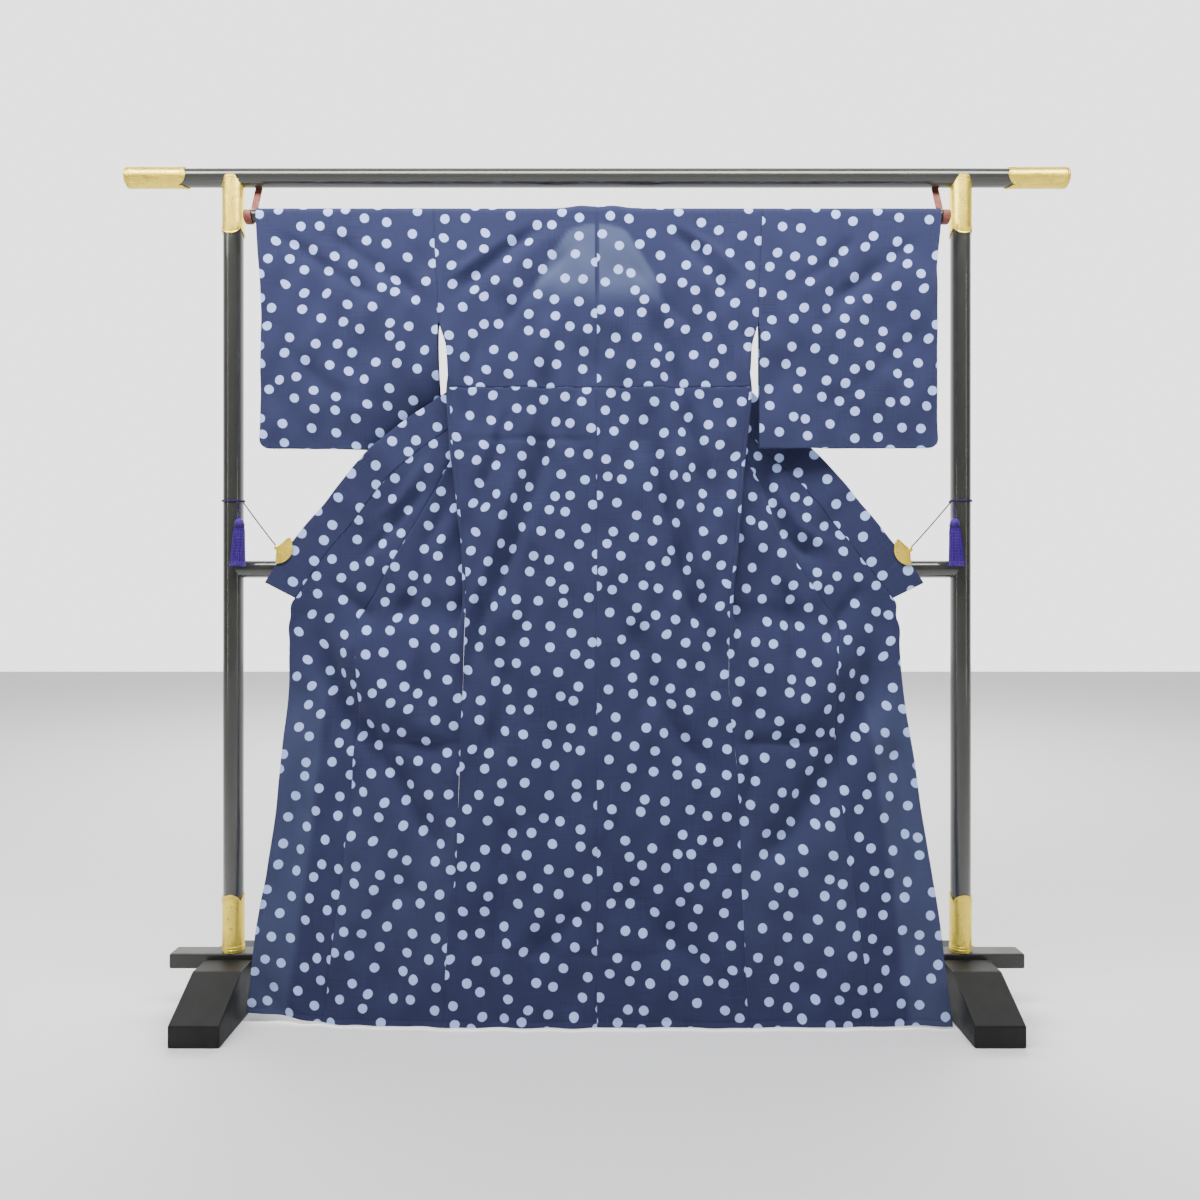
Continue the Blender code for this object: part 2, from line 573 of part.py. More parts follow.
def build_robe(cloth, collection):
    for side, word in ((-1, "left"), (1, "right")):
        build_back(side, word, cloth, collection)
        front, normals = front_grid(side)
        wall("front_" + word, front, normals, CLOTH, cloth, collection)
        okumi, normals = okumi_grid(side)
        wall("okumi_" + word, okumi, normals, CLOTH, cloth, collection)

        collar = collar_grid(side)
        normals = grid_normals(collar)
        normals[0] = (0, math.copysign(1, normals[0, 0, 1]), 0)    # square to the nape piece above
        wall("collar_" + word, collar, normals, COLLAR_CLOTH, cloth, collection)

        for front_wall, place_word in ((False, "back"), (True, "front")):
            name = "sleeve_" + word + "_" + place_word
            wall_over_rod(name, sleeve_grid(side, front_wall), GAP, 0.0, CLOTH, cloth, collection)
    wall_over_rod("collar_nape", nape_grid(), 0.0, 0.0, COLLAR_CLOTH, cloth, collection)


# ---------------------------------------------------------------- the stand
def cylinder(name, radius, length, location, axis, material, collection, sides=24):
    turn = {"X": (0, math.pi / 2, 0), "Y": (math.pi / 2, 0, 0), "Z": (0, 0, 0)}[axis]
    bpy.ops.mesh.primitive_cylinder_add(vertices=sides, radius=radius, depth=length,
                                        location=location, rotation=turn)
    obj = adopt(bpy.context.object, name, material, collection)
    obj.data.shade_smooth()
    return obj


def box(name, low, high, material, collection, bevel=0.0):
    size = np.subtract(high, low)
    bpy.ops.mesh.primitive_cube_add(size=1.0, location=np.add(high, low) / 2)
    obj = adopt(bpy.context.object, name, material, collection)
    obj.data.transform(Matrix.Diagonal((*size, 1.0)))
    if bevel:
        add_bevel(obj, bevel)
    return obj


def add_bevel(obj, width):
    bevel = obj.modifiers.new("bevel", "BEVEL")
    bevel.width = width
    bevel.segments = 1
    bevel.limit_method = "ANGLE"


def cut(obj, cutter):
    boolean = obj.modifiers.new("cut", "BOOLEAN")
    boolean.operation = "DIFFERENCE"
    boolean.object = cutter
    boolean.solver = "EXACT"
    cutter.hide_render = True
    cutter.display_type = "WIRE"


def scalloped_sleeve(name, inner_r, outer_r, plain, edge, closed, material, collection):
    """Sleeve along its own Z with a plain end and a lobed edge; a closed one has an end plate."""
    around = SCALLOPS * 8
    angles = np.arange(around) * 2 * math.pi / around
    wave = 1 - np.abs(np.sin((angles + SCALLOP_TURN) * SCALLOPS / 2)) ** 0.7
    edge_z = edge + math.copysign(SCALLOP, plain - edge) * wave
    rings = []
    for radius, heights in ((inner_r, np.full(around, plain)), (inner_r, edge_z),
                            (outer_r, edge_z), (outer_r, np.full(around, plain))):
        rings.append(np.stack((radius * np.cos(angles), radius * np.sin(angles), heights), axis=-1))
    if closed:
        lip = math.copysign(0.0025, plain - edge)
        rings[3][:, 2] += lip
        rings.append(rings[3].copy())
        rings[4][:, :2] *= 0.90
        rings[4][:, 2] += lip / 2
    verts = np.concatenate(rings)
    count = len(rings)
    faces = []
    for ring in range(count if not closed else count - 1):
        for i in range(around):
            j = (i + 1) % around
            a, b = ring * around, ((ring + 1) % count) * around
            faces.append((a + i, a + j, b + j, b + i))
    if closed:
        faces.append(tuple(range(around)))
        faces.append(tuple((count - 1) * around + i for i in range(around)))
    mesh = bpy.data.meshes.new(name)
    mesh.from_pydata(verts.tolist(), [], faces)
    face_outwards(mesh)
    mesh.shade_smooth()
    return add_object(name, mesh, material, collection)


def build_feet(side, word, lacquer, collection, helpers):
    outline = ((-FOOT_HALF, 0.0), (FOOT_HALF, 0.0), (FOOT_HALF, FOOT_TOE), (FOOT_FLAT_HALF, FOOT_TOP),
               (-FOOT_FLAT_HALF, FOOT_TOP), (-FOOT_HALF, FOOT_TOE))
    left, right = side * POST_X - FOOT_WIDTH / 2, side * POST_X + FOOT_WIDTH / 2
    verts = [(x, y, z) for x in (left, right) for y, z in outline]
    count = len(outline)
    faces = [tuple(range(count)), tuple(range(2 * count - 1, count - 1, -1))]
    faces += [(i, i + count, (i + 1) % count + count, (i + 1) % count) for i in range(count)]
    mesh = bpy.data.meshes.new("foot_" + word)
    mesh.from_pydata(verts, [], faces)
    face_outwards(mesh)
    foot = add_object("foot_" + word, mesh, lacquer, collection)
    add_bevel(foot, 0.003)
    half = PLATE_DEPTH / 2
    slot = box("slot_" + word, (left - 0.01, -half - GAP, PLATE_LOW - GAP),
               (right + 0.01, half + GAP, FOOT_TOP + 0.01), lacquer, helpers)
    cut(foot, slot)
    box("cross_plate_" + word, (side * POST_X - PLATE_HALF, -half, PLATE_LOW),
        (side * POST_X + PLATE_HALF, half, PLATE_TOP), lacquer, collection, bevel=0.002)


def build_posts(lacquer, gold, collection, helpers):
    rail_cut = cylinder("rail_cut", RAIL_R + GAP, 2 * RAIL_HALF, (0, 0, RAIL_Z), "X", lacquer, helpers, 32)
    low = PLATE_TOP + GAP
    for side, word in ((-1, "left"), (1, "right")):
        build_feet(side, word, lacquer, collection, helpers)
        middle = (low + RAIL_Z) / 2
        post = cylinder("post_" + word, POST_R, RAIL_Z - low, (side * POST_X, 0, middle), "Z",
                        lacquer, collection)
        cut(post, rail_cut)
        top = scalloped_sleeve("ferrule_top_" + word, POST_R + GAP, FERRULE_R, RAIL_Z, FERRULE_TOP_BOTTOM,
                               False, gold, collection)
        top.location = (side * POST_X, 0, 0)
        cut(top, rail_cut)
        bottom = scalloped_sleeve("ferrule_bottom_" + word, POST_R + GAP, FERRULE_R, low, FERRULE_LOW_TOP,
                                  False, gold, collection)
        bottom.location = (side * POST_X, 0, 0)
        cap = scalloped_sleeve("rail_cap_" + word, RAIL_R + GAP, CAP_R, RAIL_HALF, RAIL_HALF - CAP_LENGTH,
                               True, gold, collection)
        cap.location = (0, 0, RAIL_Z)
        cap.rotation_euler = (0, side * math.pi / 2, 0)
    cylinder("rail", RAIL_R, 2 * (RAIL_HALF - GAP), (0, 0, RAIL_Z), "X", lacquer, collection, 24)
    crossbar = cylinder("crossbar", CROSSBAR_R, 2 * POST_X, (0, 0, CROSSBAR_Z), "X", lacquer, collection)
    for side, word in ((-1, "left"), (1, "right")):
        cut(crossbar, cylinder("bar_cut_" + word, POST_R + GAP, 0.2, (side * POST_X, 0, CROSSBAR_Z), "Z",
                               lacquer, helpers, 24))


def build_rod(lacquer, leather, collection):
    cylinder("rod", ROD_R, 2 * ROD_HALF, (0, ROD_Y, ROD_Z), "X", lacquer, collection, 24)
    rail_r = RAIL_R + GAP + HOOK_THICK / 2
    rod_r = ROD_R + GAP + HOOK_THICK / 2
    path = [(rail_r * math.cos(a), RAIL_Z + rail_r * math.sin(a))
            for a in np.radians(np.linspace(75, -22, 8))]
    path += [(ROD_Y + rod_r * math.cos(a), ROD_Z + rod_r * math.sin(a))
             for a in np.radians(np.linspace(-26, -200, 11))]
    for side, word in ((-1, "left"), (1, "right")):
        columns = (side * HOOK_X - HOOK_WIDTH / 2, side * HOOK_X + HOOK_WIDTH / 2)
        strap = np.array([[(x, y, z) for x in columns] for y, z in path])
        wall("hook_" + word, strap, grid_normals(strap), HOOK_THICK, leather, collection)


# ---------------------------------------------------------------- clips, cords and tassels
def clip_pivot(side):
    """Pivot just off the collar's free edge, and the direction from it into the cloth."""
    base, across = collar_frame(side, COLLAR_END_Z)
    corner = base + across * COLLAR_WIDTH_END
    up_base, up_across = collar_frame(side, COLLAR_END_Z + 0.040)
    up_corner = up_base + up_across * COLLAR_WIDTH_END
    along = (up_corner - corner) / np.linalg.norm(up_corner - corner)
    inwards = -across
    return corner + along * CLIP_ALONG - inwards * CLIP_OFFSET, inwards


def fan_prism(name, radius, depth, centre, inwards, sweep, material, collection):
    """Fan-shaped plate in the cloth's plane, centred on the pivot's depth."""
    middle = math.atan2(inwards[2], inwards[0])
    angles = middle + np.linspace(-sweep / 2, sweep / 2, 13)
    rim = [(centre[0] + radius * math.cos(a), centre[2] + radius * math.sin(a)) for a in angles]
    knob = [(centre[0] + CLIP_KNOB_R * math.cos(a), centre[2] + CLIP_KNOB_R * math.sin(a))
            for a in np.linspace(angles[-1] + 0.5, angles[0] + 2 * math.pi - 0.5, 7)]
    outline = rim + knob
    count = len(outline)
    verts = [(x, centre[1] + y, z) for y in (-depth / 2, depth / 2) for x, z in outline]
    faces = [tuple(range(count)), tuple(range(2 * count - 1, count - 1, -1))]
    faces += [(i, (i + 1) % count, (i + 1) % count + count, i + count) for i in range(count)]
    mesh = bpy.data.meshes.new(name)
    mesh.from_pydata(verts, [], faces)
    face_outwards(mesh)
    return add_object(name, mesh, material, collection)


def build_clip(side, word, gold, collection, helpers):
    pivot, inwards = clip_pivot(side)
    slot_depth = COLLAR_CLOTH + 2 * CLIP_CLEAR
    clip = fan_prism("clip_" + word, CLIP_R, slot_depth + 2 * CLIP_LEAF, pivot, inwards, CLIP_SWEEP,
                     gold, collection)
    reach = 2 * CLIP_R
    slot = box("clip_slot_" + word, (CLIP_KNUCKLE, -slot_depth / 2, -reach), (reach, slot_depth / 2, reach),
               gold, helpers)
    slot.rotation_euler = (0, -math.atan2(inwards[2], inwards[0]), 0)
    shift = (CLIP_KNUCKLE + reach) / 2 / math.hypot(inwards[0], inwards[2])
    slot.location = (pivot[0] + shift * inwards[0], pivot[1], pivot[2] + shift * inwards[2])
    cut(clip, slot)
    return pivot


def tube(name, points, radius, material, collection):
    curve = bpy.data.curves.new(name, "CURVE")
    curve.dimensions = "3D"
    curve.bevel_depth = radius
    curve.bevel_resolution = 2
    curve.use_fill_caps = True
    spline = curve.splines.new("POLY")
    spline.points.add(len(points) - 1)
    for point, place_at in zip(spline.points, points):
        point.co = (*place_at, 1.0)
    curve.materials.append(material)
    obj = bpy.data.objects.new(name, curve)
    collection.objects.link(obj)
    return obj


def build_wrap(side, word, silk, collection):
    """Cord wound round the post: a turned profile of touching turns."""
    inner = POST_R + GAP
    profile = []
    for turn in range(WRAP_TURNS):
        centre = WRAP_Z - (turn - (WRAP_TURNS - 1) / 2) * 2 * CORD_R
        for angle in np.radians((60, 0, -60)):
            profile.append((inner + CORD_R + CORD_R * math.cos(angle), centre + CORD_R * math.sin(angle)))
    half = WRAP_TURNS * CORD_R
    profile = [(inner, WRAP_Z + half)] + profile + [(inner, WRAP_Z - half)]
    mesh = bpy.data.meshes.new("cord_wrap_" + word)
    count = len(profile)
    mesh.from_pydata([(r, 0, z) for r, z in profile], [(i, (i + 1) % count) for i in range(count)], [])
    obj = add_object("cord_wrap_" + word, mesh, silk, collection)
    screw = obj.modifiers.new("turn", "SCREW")
    screw.steps = 20
    screw.render_steps = 20
    screw.use_merge_vertices = True
    screw.merge_threshold = 0.00005
    obj.location = (side * POST_X, 0, 0)


def strand_path(ring, angle, side):
    """A strand from inside the tassel's head down to its free end, flaring on the way."""
    top_r = TASSEL_TOP_R * 0.86 * ring / TASSEL_RINGS
    low_r = TASSEL_BOTTOM_R * ring / TASSEL_RINGS
    points = []
    for share in (0.0, 0.35, 1.0):
        radius = top_r + (low_r - top_r) * share
        centre_y = TASSEL_TOP_Y + (TASSEL_BOTTOM_Y - TASSEL_TOP_Y) * share
        root = TASSEL_HEAD_TOP - TASSEL_HEAD + 0.002
        z = root + (TASSEL_BOTTOM - root) * share
        x = side * (POST_X - TASSEL_OUT) + radius * math.cos(angle)
        points.append((x, centre_y + radius * math.sin(angle), z))
    return points


def build_tassel(side, word, silk, collection, helpers):
    """Turned head with its hanging loop, and strands whose roots are fused into it."""
    head = bmesh.new()
    profile = ((0.0013, LOOP_RISE), (0.0013, 0.0), (0.0050, -0.0015), (0.0088, -0.006),
               (TASSEL_TOP_R, -0.012), (TASSEL_TOP_R, -TASSEL_HEAD))
    rings = []
    for radius, drop in profile:
        share = max(drop, 0.0) / LOOP_RISE
        lean = TASSEL_TOP_Y + (LOOP_Y - TASSEL_TOP_Y) * share
        out = TASSEL_OUT + (LOOP_OUT - TASSEL_OUT) * share
        made = bmesh.ops.create_circle(head, cap_ends=False, radius=radius, segments=12)
        ring = made["verts"]
        for vert in ring:
            vert.co.x += side * (POST_X - out)
            vert.co.y += lean
            vert.co.z = TASSEL_HEAD_TOP + drop
        rings.append(ring)
    for upper, lower in zip(rings, rings[1:]):
        for i in range(12):
            head.faces.new((upper[i], upper[(i + 1) % 12], lower[(i + 1) % 12], lower[i]))
    head.faces.new(rings[0])
    head.faces.new(rings[-1])
    bmesh.ops.recalc_face_normals(head, faces=head.faces)
    mesh = bpy.data.meshes.new("tassel_" + word)
    head.to_mesh(mesh)
    head.free()
    tassel = add_object("tassel_" + word, mesh, silk, collection)

    strands = bmesh.new()
    for ring in range(TASSEL_RINGS + 1):
        for i in range(max(6 * ring, 1)):
            path = strand_path(ring, 2 * math.pi * (i + 0.5 * (ring % 2)) / max(6 * ring, 1), side)
            levels = []
            for point in path:
                level = []
                for corner in range(3):
                    angle = 2 * math.pi * corner / 3
                    level.append(strands.verts.new((point[0] + STRAND_R * math.cos(angle),
                                                    point[1] + STRAND_R * math.sin(angle), point[2])))
                levels.append(level)
            for upper, lower in zip(levels, levels[1:]):
                for k in range(3):
                    strands.faces.new((upper[k], lower[k], lower[(k + 1) % 3], upper[(k + 1) % 3]))
            strands.faces.new(levels[0])
            strands.faces.new(levels[-1][::-1])
    strand_mesh = bpy.data.meshes.new("strands_" + word)
    strands.to_mesh(strand_mesh)
    strands.free()
    face_outwards(strand_mesh)
    strand_obj = add_object("strands_" + word, strand_mesh, silk, helpers)
    union = tassel.modifiers.new("fuse", "BOOLEAN")
    union.operation = "UNION"
    union.object = strand_obj
    union.solver = "EXACT"
    strand_obj.hide_render = True
    strand_obj.display_type = "WIRE"


def build_ties(gold, silk, collection, helpers):
    for side, word in ((-1, "left"), (1, "right")):
        pivot = build_clip(side, word, gold, collection, helpers)
        build_wrap(side, word, silk, collection)
        wrap_r = POST_R + GAP + 2 * CORD_R
        start = np.array((side * (POST_X - wrap_r * math.cos(0.35)), -wrap_r * math.sin(0.35),
                          WRAP_Z - CORD_R))
        run = pivot - start
        run /= np.linalg.norm(run)
        start = start + run * GAP * 2
        end = pivot - run * (CLIP_KNOB_R + GAP)
        points = [start + (end - start) * share for share in np.linspace(0, 1, 5)]
        tube("clip_cord_" + word, points, CORD_R, silk, collection)
        build_tassel(side, word, silk, collection, helpers)


def main():
    clear_scene()
    parts = new_collection("yukata_on_stand")
    helpers = new_collection("cutters")
    cotton = principled("navy_cotton", (0.035, 0.055, 0.16), 0.85)
    lacquer = principled("black_lacquer", (0.012, 0.012, 0.010), 0.18)
    leather = principled("brown_strap", (0.16, 0.05, 0.03), 0.5)
    gold = principled("gilt_metal", (0.83, 0.60, 0.22), 0.3, 1.0)
    silk = principled("purple_silk", (0.09, 0.03, 0.32), 0.6)
    build_robe(cotton, parts)
    build_rod(lacquer, leather, parts)
    build_posts(lacquer, gold, parts, helpers)
    build_ties(gold, silk, parts, helpers)


main()
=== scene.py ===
"""Dresses the packed yukata robe and its stand: draped cotton panels, gilt fittings, clips, cords
and tassels. Units are metres, +Z is up and the robe's back faces -Y, with its centre seam at X = 0.

The robe is one sheet, followed at every height from the centre back outwards: back panel, side
seam, a fold tucked in behind the back, front panel, overlap panel (okumi) and collar.
"""
import math

import bmesh
import bpy
import numpy as np
from mathutils import Matrix, Vector


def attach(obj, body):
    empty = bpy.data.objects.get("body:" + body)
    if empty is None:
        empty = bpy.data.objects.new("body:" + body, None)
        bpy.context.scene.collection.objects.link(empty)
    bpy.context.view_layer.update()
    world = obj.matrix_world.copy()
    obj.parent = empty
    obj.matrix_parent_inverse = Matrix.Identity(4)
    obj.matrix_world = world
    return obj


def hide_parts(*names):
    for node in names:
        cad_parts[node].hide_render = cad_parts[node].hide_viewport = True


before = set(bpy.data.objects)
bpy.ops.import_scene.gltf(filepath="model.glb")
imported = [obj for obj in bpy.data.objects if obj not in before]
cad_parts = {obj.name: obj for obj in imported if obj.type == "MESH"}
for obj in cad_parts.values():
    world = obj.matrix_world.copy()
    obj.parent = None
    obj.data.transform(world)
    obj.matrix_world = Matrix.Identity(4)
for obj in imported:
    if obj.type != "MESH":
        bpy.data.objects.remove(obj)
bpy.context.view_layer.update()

bl_info = {
    "name": "Yukata Robe on a Stand",
    "version": (1, 0, 0),
    "blender": (4, 5, 0),
    "location": "View3D > Sidebar > Yukata",
    "description": "Cotton panels, collar, sleeves, stand fittings, clips and tassels",
    "category": "Add Mesh",
}

# ---------------------------------------------------------------- sizes shared with the solids
GAP = 0.0003
CLOTH_WALL = 0.0012
COLLAR_WALL = 0.0030
ROD_Y, ROD_Z, ROD_R, ROD_HALF = -0.040, 1.560, 0.0125, 0.690
RAIL_Z, RAIL_R, RAIL_HALF = 1.652, 0.0185, 0.937
POST_X, POST_R = 0.727, 0.01975
CROSSBAR_Z, CROSSBAR_R = 0.870, 0.0175
CAP_LENGTH, CAP_R = 0.121, 0.0205
FERRULE_R, FERRULE_TOP_BOTTOM, FERRULE_LOW_TOP = 0.0215, 1.534, 0.224
SCALLOP, SCALLOPS, SCALLOP_TURN = 0.016, 3, math.radians(30)
FOOT_WIDTH, FOOT_HALF, FOOT_TOP, FOOT_TOE, FOOT_FLAT_HALF = 0.094, 0.194, 0.098, 0.040, 0.085
PLATE_HALF, PLATE_DEPTH, PLATE_LOW, PLATE_TOP = 0.120, 0.043, 0.078, 0.108
HOOK_X, HOOK_WIDTH, HOOK_THICK = 0.681, 0.014, 0.003
TACK_R = 0.0013

CLOTH_RADIUS = ROD_R + GAP + CLOTH_WALL / 2 + 0.0002    # cloth's middle, where it bends over the rod
HEM_Z = 0.004
SLEEVE_SEAM_Z, SIDE_SEAM_Z, OKUMI_TIP_Z = 1.352, 1.203, 1.235
COLLAR_TOP_Z, COLLAR_END_Z = 1.5425, 0.812
COLLAR_WIDTH_TOP, COLLAR_WIDTH_END = 0.055, 0.067
NAPE_HALF, NAPE_RISE = 0.087, 0.005
SIDE_TURN, SIDE_TURN_AT, TUCK_TURN, TUCK_FADE = 0.0080, 0.0085, 0.0140, 0.030
WAIST_SEAM_Z = 1.2215      # inner tuck sewn across the back
WAIST_TUCK = 0.070         # cloth taken up by it

# One row for each height. side: half width of the back; tuck: length of the fold behind the back;
# front, edge: cloth from the side seam to the okumi seam, and to the collar or the free front edge.
DRAPE_COLUMNS = ("z", "side", "tuck", "front", "edge", "edge_y")
DRAPE_LEFT = (
    (1.560, 0.318, 0.282, 0.240, 0.2280, -0.022),
    (1.539, 0.317, 0.269, 0.240, 0.2290, -0.022),
    (1.500, 0.316, 0.243, 0.240, 0.2305, -0.020),
    (1.469, 0.314, 0.221, 0.240, 0.2320, -0.018),
    (1.408, 0.310, 0.188, 0.240, 0.2350, -0.014),
    (1.352, 0.307, 0.185, 0.240, 0.2370, -0.012),
    (1.300, 0.293, 0.176, 0.240, 0.2385, -0.014),
    (1.255, 0.290, 0.172, 0.240, 0.2400, -0.020),
    (1.179, 0.285, 0.158, 0.240, 0.2800, -0.036),
    (1.100, 0.279, 0.122, 0.240, 0.3180, -0.046),
    (1.026, 0.269, 0.096, 0.240, 0.3540, -0.042),
    (0.960, 0.263, 0.074, 0.240, 0.3670, -0.038),
    (0.907, 0.256, 0.054, 0.240, 0.3800, -0.035),
    (0.808, 0.253, 0.026, 0.240, 0.3930, -0.035),
    (0.770, 0.254, 0.017, 0.2304, 0.3650, -0.037),
    (0.720, 0.2555, 0.008, 0.2120, 0.3473, -0.041),
    (0.640, 0.258, 0.000, 0.2065, 0.344, -0.048),
    (0.444, 0.264, 0.000, 0.2100, 0.353, -0.061),
    (0.318, 0.266, 0.000, 0.2166, 0.366, -0.068),
    (0.191, 0.281, 0.000, 0.2180, 0.372, -0.075),
    (0.000, 0.290, 0.000, 0.2325, 0.382, -0.082),
)
DRAPE_RIGHT = (
    (1.560, 0.3216, 0.285, 0.240, 0.2280, -0.022),
    (1.539, 0.3210, 0.272, 0.240, 0.2290, -0.022),
    (1.500, 0.3195, 0.246, 0.240, 0.2305, -0.020),
    (1.469, 0.3180, 0.224, 0.240, 0.2320, -0.018),
    (1.408, 0.3155, 0.192, 0.240, 0.2350, -0.014),
    (1.352, 0.3130, 0.187, 0.240, 0.2370, -0.012),
    (1.300, 0.3010, 0.182, 0.240, 0.2385, -0.012),
    (1.255, 0.2980, 0.178, 0.240, 0.2400, -0.012),
    (1.179, 0.2920, 0.155, 0.240, 0.2730, -0.015),
    (1.100, 0.2840, 0.123, 0.240, 0.2990, -0.022),
    (1.026, 0.2765, 0.094, 0.240, 0.3245, -0.031),
    (0.960, 0.2710, 0.080, 0.240, 0.3560, -0.035),
    (0.907, 0.2670, 0.0655, 0.240, 0.373, -0.035),
    (0.808, 0.2560, 0.0280, 0.240, 0.3840, -0.035),
    (0.770, 0.2550, 0.018, 0.2355, 0.3535, -0.038),
    (0.720, 0.2540, 0.008, 0.2148, 0.3388, -0.043),
    (0.640, 0.2530, 0.000, 0.2100, 0.3426, -0.052),
    (0.444, 0.2700, 0.000, 0.1970, 0.350, -0.073),
    (0.318, 0.2730, 0.000, 0.2080, 0.363, -0.085),
    (0.191, 0.2770, 0.000, 0.2190, 0.375, -0.096),
    (0.000, 0.2850, 0.000, 0.2340, 0.385, -0.110),
)
# Depth of the back, from the rod to the hem, which stands forward of it.
BACK_COLUMNS = ("z", "y")
BACK_DEPTH = (
    (1.560, ROD_Y - CLOTH_RADIUS),
    (1.400, -0.0560),
    (1.200, -0.0580),
    (1.000, -0.0620),
    (0.870, -0.0680),
    (0.600, -0.0850),
    (0.300, -0.1030),
    (0.000, -0.1170),
)
# Space between the two walls behind each other at the shoulder, and inside a sleeve.
HOLLOW_COLUMNS = ("z", "gap")
HOLLOW = (
    (1.560, 2 * CLOTH_RADIUS),
    (1.352, 0.0190),
    (1.200, 0.0140),
    (1.100, 0.0120),
)
# Sleeve outline, columns: inner_low (inner edge below the sleeve seam), outer_top, outer_low,
# outer_low_z and bottom.
SLEEVE_LEFT = (0.3095, 0.6636, 0.6530, 1.397, 1.1015)
SLEEVE_RIGHT = (0.3150, 0.6695, 0.6600, 1.440, 1.1025)
CUFF_LOW_Z = 1.335
SLEEVE_CORNER_R = 0.018
SLEEVE_CLOSE = 0.035       # width over which the walls close on the bottom seam and the outer seam

# Main folds, columns: line (x, z points down the cloth), depth (away from -Y) and width.
BODY_FOLDS = (
    (((-0.093, 1.556), (-0.188, 1.484), (-0.278, 1.400)), 0.010, 0.016),
    (((-0.060, 1.545), (-0.140, 1.470), (-0.215, 1.385)), -0.005, 0.022),
    (((0.138, 1.549), (0.200, 1.473), (0.268, 1.391)), 0.007, 0.015),
    (((-0.087, 1.303), (-0.110, 1.079), (-0.168, 0.905), (-0.229, 0.760), (-0.252, 0.607)), 0.013, 0.018),
    (((-0.140, 1.200), (-0.175, 1.000), (-0.222, 0.860)), -0.006, 0.022),
    (((-0.167, 0.693), (-0.189, 0.579), (-0.204, 0.503)), 0.008, 0.018),
    (((0.103, 1.400), (0.146, 1.254), (0.196, 1.089), (0.222, 0.963)), 0.012, 0.017),
    (((0.103, 1.157), (0.141, 0.982), (0.185, 0.808), (0.247, 0.636)), 0.013, 0.018),
    (((0.150, 1.130), (0.185, 0.960), (0.225, 0.800)), -0.006, 0.018),
    (((0.064, 0.789), (0.111, 0.617), (0.180, 0.520), (0.253, 0.456)), 0.012, 0.024),
    (((-0.566, 0.770), (-0.512, 0.655), (-0.468, 0.575), (-0.384, 0.462), (-0.274, 0.282)), 0.019, 0.027),
    (((-0.500, 0.760), (-0.430, 0.640), (-0.340, 0.560)), -0.011, 0.040),
    (((-0.468, 0.569), (-0.376, 0.531), (-0.271, 0.518)), 0.008, 0.020),
    (((0.562, 0.750), (0.518, 0.617), (0.448, 0.484), (0.366, 0.362), (0.286, 0.269)), 0.020, 0.029),
    (((0.500, 0.740), (0.420, 0.610), (0.340, 0.560)), -0.012, 0.040),
    (((0.263, 0.531), (0.368, 0.537), (0.454, 0.556)), 0.006, 0.018),
    (((-0.440, 0.400), (-0.470, 0.200), (-0.500, 0.030)), -0.010, 0.045),
    (((-0.360, 0.300), (-0.390, 0.150), (-0.400, 0.030)), 0.007, 0.040),
    (((0.440, 0.400), (0.470, 0.200), (0.490, 0.030)), -0.010, 0.045),
    (((0.350, 0.250), (0.380, 0.120), (0.390, 0.030)), 0.007, 0.040),
    (((-0.017, 0.232), (-0.070, 0.176), (-0.145, 0.126)), 0.008, 0.026),
    (((0.044, 0.278), (0.119, 0.176), (0.209, 0.089)), 0.010, 0.028),
    (((0.320, 1.060), (0.373, 0.934), (0.440, 0.876)), 0.010, 0.015),
    (((0.340, 1.030), (0.400, 0.950), (0.470, 0.905)), -0.006, 0.014),
    (((-0.285, 1.010), (-0.330, 0.925), (-0.353, 0.825), (-0.402, 0.747)), 0.009, 0.018),
)
SLEEVE_FOLDS = (
    (((-0.200, 1.240), (-0.455, 1.045)), 0.050, 0.060),      # behind the front drawn out past it
    (((-0.635, 1.530), (-0.520, 1.450), (-0.400, 1.380)), 0.006, 0.014),
    (((-0.530, 1.530), (-0.430, 1.455), (-0.330, 1.390)), 0.005, 0.013),
    (((-0.330, 1.330), (-0.370, 1.200), (-0.480, 1.120)), 0.006, 0.040),
    (((0.630, 1.520), (0.540, 1.440), (0.430, 1.380)), 0.006, 0.014),
    (((0.510, 1.520), (0.450, 1.460), (0.385, 1.415)), 0.005, 0.012),
    (((0.340, 1.310), (0.400, 1.220), (0.500, 1.120)), 0.005, 0.040),
)
FOLD_TAPER = 0.22          # share of a fold's length over which each end dies away
FOLD_END = 0.15            # share of a fold's depth that is left at its ends
FOLD_START_Z = 1.553       # no fold reaches the cloth on the rod
FOLD_START_RUN = 0.050

CORNER_LIFT = {-1: 0.014, 1: 0.001}        # the hem's front corners, left and right
CORNER_LIFT_FROM, CORNER_LIFT_RUN, CORNER_LIFT_HEIGHT = 0.50, 0.175, 0.45
SECTION_STEP, SECTION_LENGTH = 0.0005, 0.60
EDGE_LEAST, EDGE_FROM_Z, EDGE_FADE = 0.05, 1.45, 0.20      # swing of the sheet to its edge's depth
NAPE_HUMP_X, NAPE_HUMP_WIDTH, NAPE_SEAM_SHARE, NAPE_SEAM_WIDTH = 0.030, 0.026, 0.35, 0.012
MERGE_DISTANCE = 1e-6


# ---------------------------------------------------------------- small mathematics
def smoothstep(value):
    t = np.clip(value, 0.0, 1.0)
    return t * t * (3.0 - 2.0 * t)


